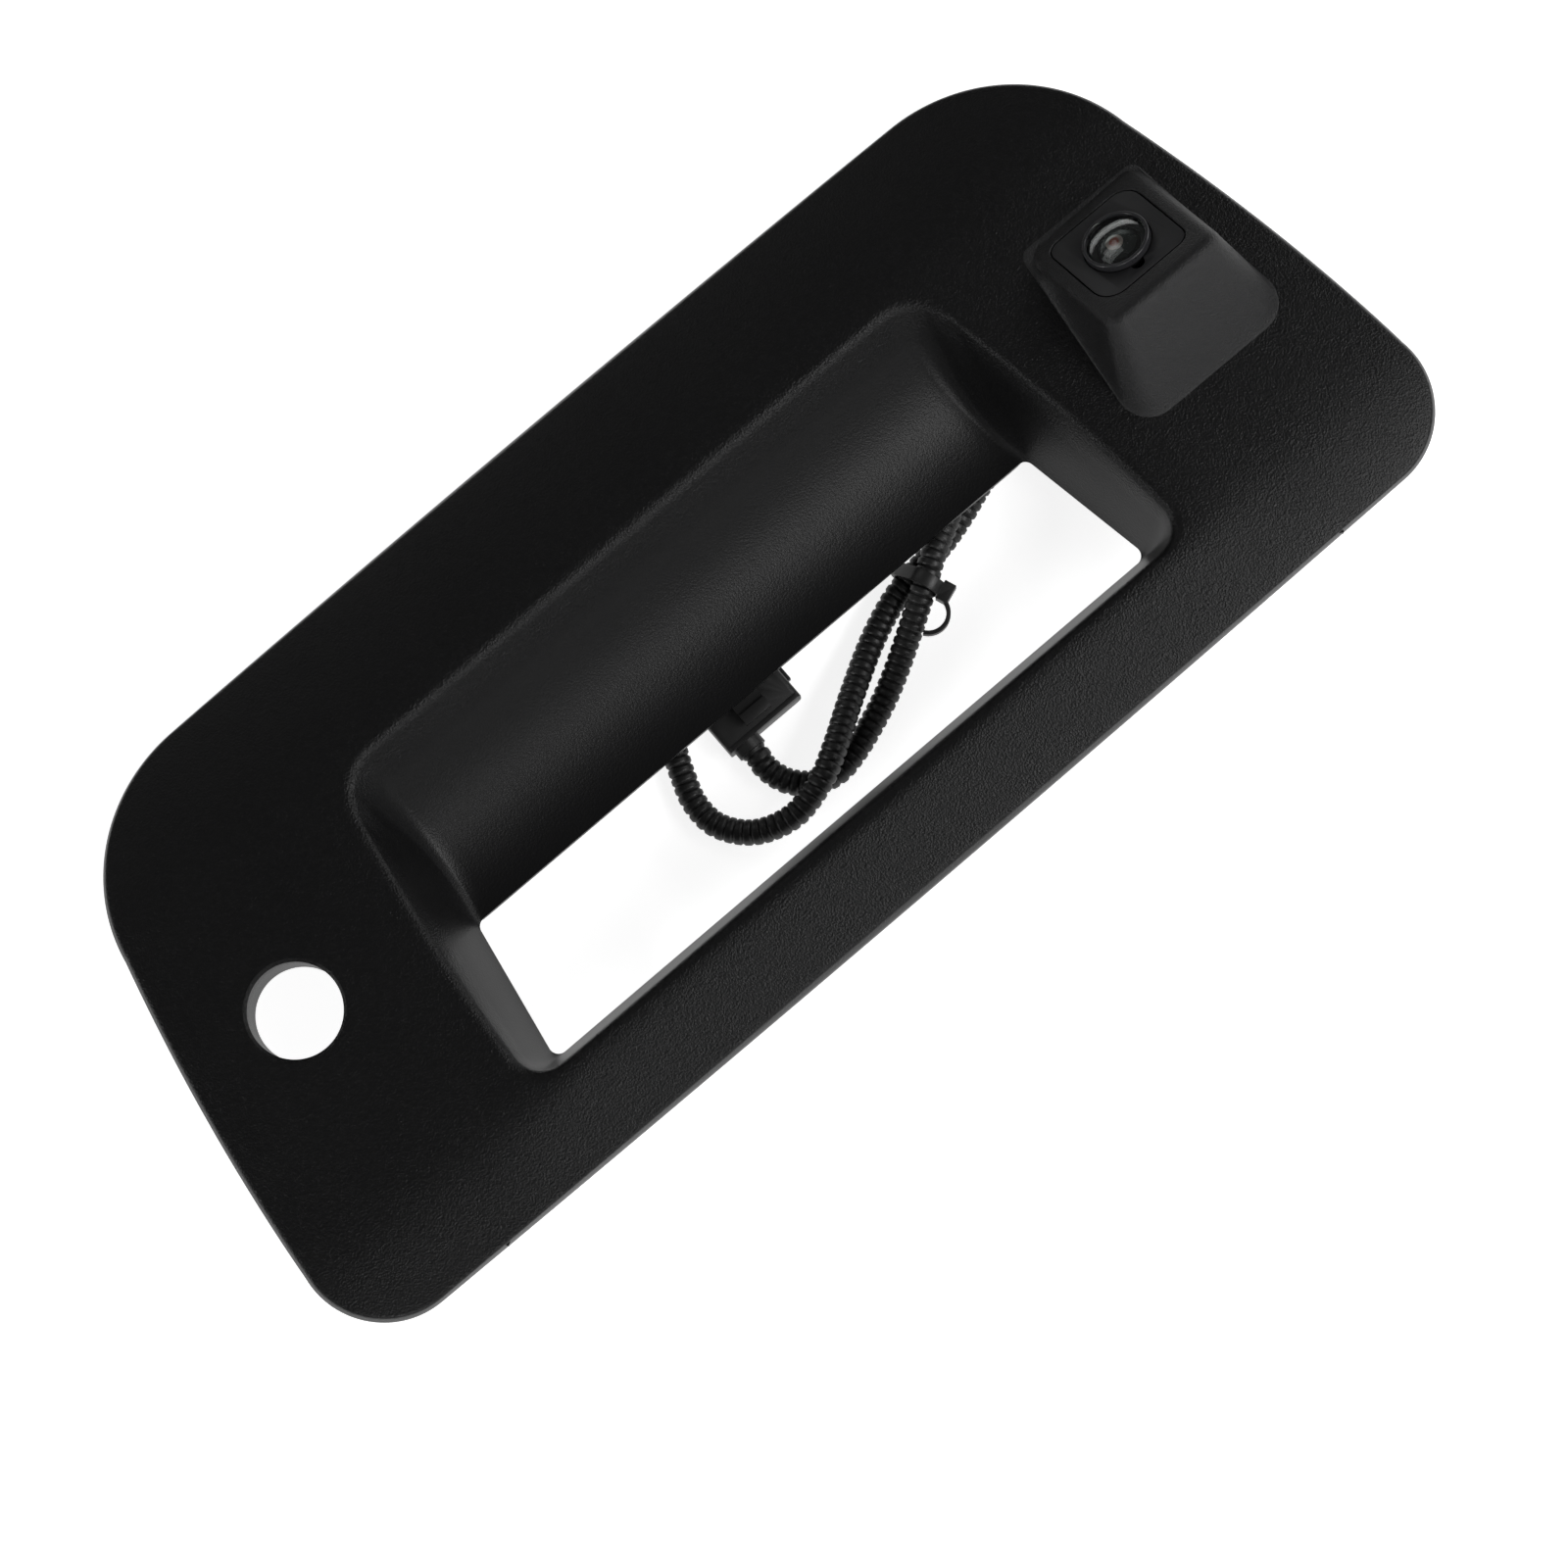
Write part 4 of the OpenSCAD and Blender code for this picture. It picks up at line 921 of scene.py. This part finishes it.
class Finish:
    """A material under construction."""

    def __init__(self, name, color, roughness, **sockets):
        self.material = bpy.data.materials.new(name)
        self.material.use_nodes = True
        self.tree = self.material.node_tree
        self.shader = self.tree.nodes["Principled BSDF"]
        self.set("Base Color", (*color, 1))
        self.set("Roughness", roughness)
        for key, value in sockets.items():
            self.set(key.replace("_", " "), value)
        self.place = self.node("ShaderNodeTexCoord", output="Object")

    def set(self, socket, value):
        target = self.shader.inputs[socket]
        if isinstance(value, Value):
            self.tree.links.new(value.socket, target)
        else:
            target.default_value = value

    def node(self, kind, settings=None, values=None, output=0):
        made = self.tree.nodes.new(kind)
        for key, value in (settings or {}).items():
            setattr(made, key, value)
        for key, value in (values or {}).items():
            if isinstance(value, Value):
                self.tree.links.new(value.socket, made.inputs[key])
            else:
                made.inputs[key].default_value = value
        return Value(self, made.outputs[output])

    def noise(self, scale, detail=2.0, rough=0.5, place=None):
        return self.node("ShaderNodeTexNoise", None, {
            "Vector": place or self.place, "Scale": scale, "Detail": detail, "Roughness": rough})

    def cells(self, scale, place=None):
        return self.node("ShaderNodeTexVoronoi", None,
                         {"Vector": place or self.place, "Scale": scale})

    def shift(self, amount, scale):
        """The place, pushed about by a noise, for patterns that wander."""
        push = self.node("ShaderNodeTexNoise", None,
                         {"Vector": self.place, "Scale": scale}, "Color")
        centred = self.node("ShaderNodeVectorMath", {"operation": "SUBTRACT"},
                            {0: push, 1: (0.5, 0.5, 0.5)})
        scaled = self.node("ShaderNodeVectorMath", {"operation": "SCALE"},
                           {0: centred, "Scale": amount})
        return self.node("ShaderNodeVectorMath", {"operation": "ADD"}, {0: self.place, 1: scaled})

    def mix(self, amount, a, b):
        return self.node("ShaderNodeMix", {"data_type": "RGBA"},
                         {0: amount, 6: (*a, 1), 7: (*b, 1)}, 2)

    def bump(self, height, depth, strength=1.0):
        self.set("Normal", self.node("ShaderNodeBump", None, {
            "Height": height, "Distance": depth, "Strength": strength}))

    def on(self, *pieces):
        for piece in pieces:
            piece.data.materials.clear()
            piece.data.materials.append(self.material)


# %% [markdown]
# ## Grained black plastic
# Both mouldings are black polymer with a fine leather grain. Colour and gloss hardly
# vary; it is the grain that catches the light. We make it as small bumps from cells and
# noise, fainter deep in the pocket, where the photograph shows a smoother skin.

# %% Grained mouldings
bezel_finish = Finish("grained black moulding", (0.004, 0.004, 0.0043), 0.38,
                      Specular_IOR_Level=0.25)
wander = bezel_finish.shift(0.0005, 700)
pebble = bezel_finish.cells(1900, wander)
crease = bezel_finish.noise(1600, 3, place=wander)
fine = bezel_finish.noise(3600, 2)
grain = 0.8 * pebble + 0.9 * crease + 0.3 * fine
depth = bezel_finish.node("ShaderNodeSeparateXYZ", None, {0: bezel_finish.place}, "Z")
outside = bezel_finish.node("ShaderNodeMapRange", {"interpolation_type": "SMOOTHSTEP"},
                            {"Value": depth, "From Min": 0.034, "From Max": 0.040,
                             "To Min": 0.3, "To Max": 1.0})
bezel_finish.bump(grain * outside, 0.0002, 0.75)
bezel_finish.set("Roughness", 0.35 + bezel_finish.noise(45, 3) * 0.06)
bezel_finish.set("Base Color", bezel_finish.mix(
    bezel_finish.noise(30, 4), (0.0034, 0.0034, 0.0037), (0.0048, 0.0048, 0.005)))
bezel_finish.on(bezel)

hood_finish = Finish("grained charcoal moulding", (0.016, 0.016, 0.017), 0.5,
                     Specular_IOR_Level=0.35)
hood_grain = hood_finish.noise(2600, 3, 0.6) + 0.5 * hood_finish.cells(2200)
hood_finish.bump(hood_grain, 0.00022, 0.8)
hood_finish.set("Roughness", 0.37 + hood_finish.noise(80, 2) * 0.06)
hood_finish.set("Base Color", hood_finish.mix(hood_finish.noise(60, 3), (0.0085, 0.0085, 0.009),
                                              (0.012, 0.012, 0.0125)))
hood_finish.on(hood)

# %% [markdown]
# ## Finishes of the camera
# The camera's face is smoother and a touch greyer than the hood. The ring is satin, the
# barrel swallows light, and the dome is glass. The pupil's colour is set by the distance
# from the lens's axis, so it needs no picture.

# %% Camera finishes
def plain(name, color, pieces, rough, spread, scale, detail=3, grain=None, **sockets):
    """A finish of one colour with a little unevenness in its gloss, put on its pieces."""
    finish = Finish(name, color, rough, **sockets)
    finish.set("Roughness", rough + finish.noise(scale, detail) * spread)
    if grain:
        finish.bump(finish.noise(grain, 2), 0.00003, 0.3)
    finish.on(*pieces)


def kept(*nodes):
    return [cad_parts[node] for node in nodes]


plate_finish = Finish("camera satin black", (0.012, 0.012, 0.013), 0.38)
plate_finish.bump(plate_finish.noise(4000, 2), 0.00002, 0.3)
plate_finish.set("Roughness", 0.34 + plate_finish.noise(200, 3) * 0.1)
plate_finish.on(small["camera_face"], small["camera_body"], small["rear_cover"])
plain("lens ring grey", (0.02, 0.02, 0.022), [lens_ring], 0.24, 0.1, 900, detail=2)
plain("barrel black", (0.004, 0.004, 0.004), [barrel, *kept("lens_stop")], 0.45, 0.15, 900,
      detail=2, Specular_IOR_Level=0.2)
plain("lens glass", (0.92, 0.97, 0.95), [dome], 0.01, 0.02, 300, detail=2,
      Transmission_Weight=1.0, IOR=1.5, Specular_IOR_Level=0.25)
plain("coated inner lens", (0.012, 0.014, 0.013), [inner_lens], 0.22, 0.08, 700, detail=2,
      Specular_IOR_Level=0.3)
pupil_finish = Finish("coated element", (0.25, 0.05, 0.04), 0.1, Coat_Weight=0.4)
from_axis = pupil_finish.node("ShaderNodeVectorMath", {"operation": "DISTANCE"},
                              {0: pupil_finish.place, 1: list(seat)}, "Value")
core = pupil_finish.node("ShaderNodeMapRange", {"interpolation_type": "SMOOTHSTEP"},
                         {"Value": from_axis, "From Min": 0.0010, "From Max": 0.0016})
pupil_finish.set("Roughness", 0.08 + pupil_finish.noise(900, 2) * 0.06)
pupil_finish.set("Base Color", pupil_finish.mix(core, (0.22, 0.05, 0.035), (0.3, 0.24, 0.22)))
pupil_finish.on(pupil)
print("finishes so far:", len(bpy.data.materials))

# %% [markdown]
# ## Finishes of the small pieces
# Conduit, plug and tie are plain black polymers that differ only in gloss. Clips and
# screws are metal, boards are green laminate, and the seals are dull rubber.

# %% Lead, plug, clips and the rest
plain("corrugated conduit", (0.010, 0.010, 0.010), [lead], 0.38, 0.12, 300, grain=2500)
plain("nylon black", (0.012, 0.012, 0.012),
      [small[n] for n in ("cable_tie", "plug_housing", "plug_cap", "plug_latch")],
      0.36, 0.12, 500, grain=1800)
plain("rubber", (0.012, 0.012, 0.012), [small["cable_boot"], *kept("rear_seal")], 0.64, 0.14, 600)
plain("lock black", (0.02, 0.02, 0.021), [small["plug_slide"]], 0.4, 0.1, 700)
plain("wire seal", (0.35, 0.09, 0.035), kept("plug_seal"), 0.55, 0.1, 700)
plain("zinc steel", (0.55, 0.56, 0.58), [small[n] for n in small if "screw" in n],
      0.3, 0.15, 900, Metallic=1.0)
plain("spring steel", (0.35, 0.33, 0.29), [small[n] for n in small if "clip" in n],
      0.34, 0.15, 600, Metallic=1.0)
plain("board green", (0.02, 0.12, 0.05), kept("sensor_board", "cable_board"), 0.35, 0.12, 500)
plain("sensor", (0.02, 0.02, 0.03), kept("image_sensor"), 0.12, 0.1, 500)
plain("tinned brass", (0.7, 0.62, 0.4), kept(*[f"terminal_{k}" for k in range(1, 6)]),
      0.26, 0.1, 900, Metallic=1.0)
print("finishes:", len(bpy.data.materials))

# %% [markdown]
# ## The lead is limp
# On the real thing the lead hangs by its own weight. Here we only work out, in metres,
# where it leaves the camera and points along its line; nothing further is done with them.

# %% The lead's start and points in metres
metres(ROUTE[0])
[metres(p) for p in lead_line[::RIB_STEPS] + lead_line[-1:]]

# %% [markdown]
# ## Floor and light
# The photograph is a plain studio shot on white. The floor is pale and keeps the
# shadow, and only the camera's own rays see it lifted to white.

# %% Floor and backdrop
bpy.ops.mesh.primitive_plane_add(size=12, location=(0, 0, 0))
floor = bpy.context.object
floor.name = "floor"
floor_finish = Finish("pale floor", (0.8, 0.8, 0.8), 0.9)
seen = (0.85 * floor_finish.node("ShaderNodeLightPath", output="Is Camera Ray")
        + 0.5 * floor_finish.node("ShaderNodeLightPath", output="Is Transmission Ray")
        + 0.6 * floor_finish.node("ShaderNodeLightPath", output="Is Glossy Ray"))
glow = floor_finish.node("ShaderNodeEmission", None, {"Color": (1, 1, 1, 1), "Strength": seen})
lit = floor_finish.node("ShaderNodeAddShader", None,
                        {0: Value(floor_finish, floor_finish.shader.outputs[0]), 1: glow})
output = floor_finish.tree.nodes["Material Output"]
floor_finish.tree.links.new(lit.socket, output.inputs["Surface"])
floor_finish.on(floor)


class Backdrop(Finish):
    """The world's shader, built with the same nodes as a finish."""

    def __init__(self, world):
        self.tree = world.node_tree
        self.shader = self.tree.nodes["Background"]
        self.set("Color", (1, 1, 1, 1))


world = bpy.data.worlds.new("studio")
bpy.context.scene.world = world
world.use_nodes = True
sky = Backdrop(world)
sky.set("Strength", 0.08 + 0.92 * sky.node("ShaderNodeLightPath", output="Is Camera Ray"))
print("floor and backdrop ready")

# %% [markdown]
# ## Soft lamps
# The highlights run along the band, on the hood's slope and at both ends of the opening.
# Each of these looks toward one soft lamp, and the flats look past all of them, which
# keeps them dark. The powers were found by comparing tones with the photograph.

# %% Lamps
REACH = 1.2
AIM = Vector((0, 0, 0.03))


def softbox(name, turn, height, size, power):
    """A soft rectangular lamp. Turn and height are the angles, in degrees, where it stands."""
    data = bpy.data.lights.new(name, "AREA")
    data.shape, data.size, data.size_y, data.energy = "RECTANGLE", size[0], size[1], power
    lamp = bpy.data.objects.new(name, data)
    bpy.context.scene.collection.objects.link(lamp)
    a, e = math.radians(turn), math.radians(height)
    lamp.location = REACH * Vector((math.cos(a) * math.cos(e), math.sin(a) * math.cos(e),
                                    math.sin(e)))
    lamp.rotation_euler = (AIM - lamp.location).to_track_quat("-Z", "Y").to_euler()


softbox("key", 126, 43, (0.8, 0.4), 7)
softbox("side", 60, 35, (0.5, 0.3), 3.2)
softbox("camera end", 182, 18, (0.5, 0.3), 3)
softbox("lock end", 348, 18, (0.4, 0.25), 3.8)
softbox("edge light", 95, 12, (1.0, 0.16), 0.8)
softbox("fill", 270, 38, (0.6, 0.4), 0.8)
bpy.context.scene.view_settings.view_transform = "Standard"

# %% [markdown]
# ## How true the points are
# For each image point we look where its thing shows now, by the finished vertices that
# the camera can see, and write how far off that is.

# %% Measure the points
seen_pieces = [bezel, hood, small["camera_face"], lens_ring, pupil]
all_points, all_faces = surface(*seen_pieces)
everything = BVHTree.FromPolygons(all_points, all_faces)


def showing(piece, test=lambda p: True):
    """Where the vertices of a piece show, of those that nothing hides from the camera."""
    eye = camera.matrix_world.translation
    found = []
    for v in piece.data.vertices:
        if test(v.co / MM):
            ahead = (eye - v.co).normalized()
            if everything.ray_cast(v.co + ahead * 0.0004, ahead)[0] is None:
                found.append(shown_at(v.co))
    return found


def far(found, axis, sign):
    """The found point farthest to the left or right (axis 0), or up or down (axis 1)."""
    return max(found, key=lambda p: sign * p[axis], default=(None, None))


def middle(found):
    if not found:
        return (None, None)
    return tuple((far(found, k, 1)[k] + far(found, k, -1)[k]) / 2 for k in (0, 1))


edges = showing(bezel, lambda p: p.z > BACK_Z - 0.5)
bore = showing(bezel, lambda p: math.dist((p.x, p.y), LOCK) < LOCK_R + 0.05)
foot_line = showing(hood)
low_edge = showing(bezel, lambda p: abs(p.z - CREST_Z + POCKET_D) < 0.05
                   and abs(p.x) < OPEN_L / 2 + 0.1 and OPEN_LOW - 0.1 < p.y < OPEN_TOP + 0.1)
in_opening = [p for p in (shown_at(v.co) for v in lead.data.vertices) if 420 < p[0] < 1100]
WAYS = {"left": (0, -1), "right": (0, 1), "top": (1, -1), "bottom": (1, 1)}
shows = {start + side: far(found, *way) for side, way in WAYS.items()
         for start, found in (("", edges), ("hood_", foot_line), ("opening_", low_edge))}
shows |= {"lock_hole": middle(bore), "lens_ring": middle(showing(lens_ring)),
          "pupil": middle(showing(pupil)), "lead_low": far(in_opening, 1, 1)}
off = {name: [None if None in (got, want) else round(got - want, 1)
              for got, want in zip(shows[name], POINTS[name])]
       for name in POINTS}
print("points off by", off)
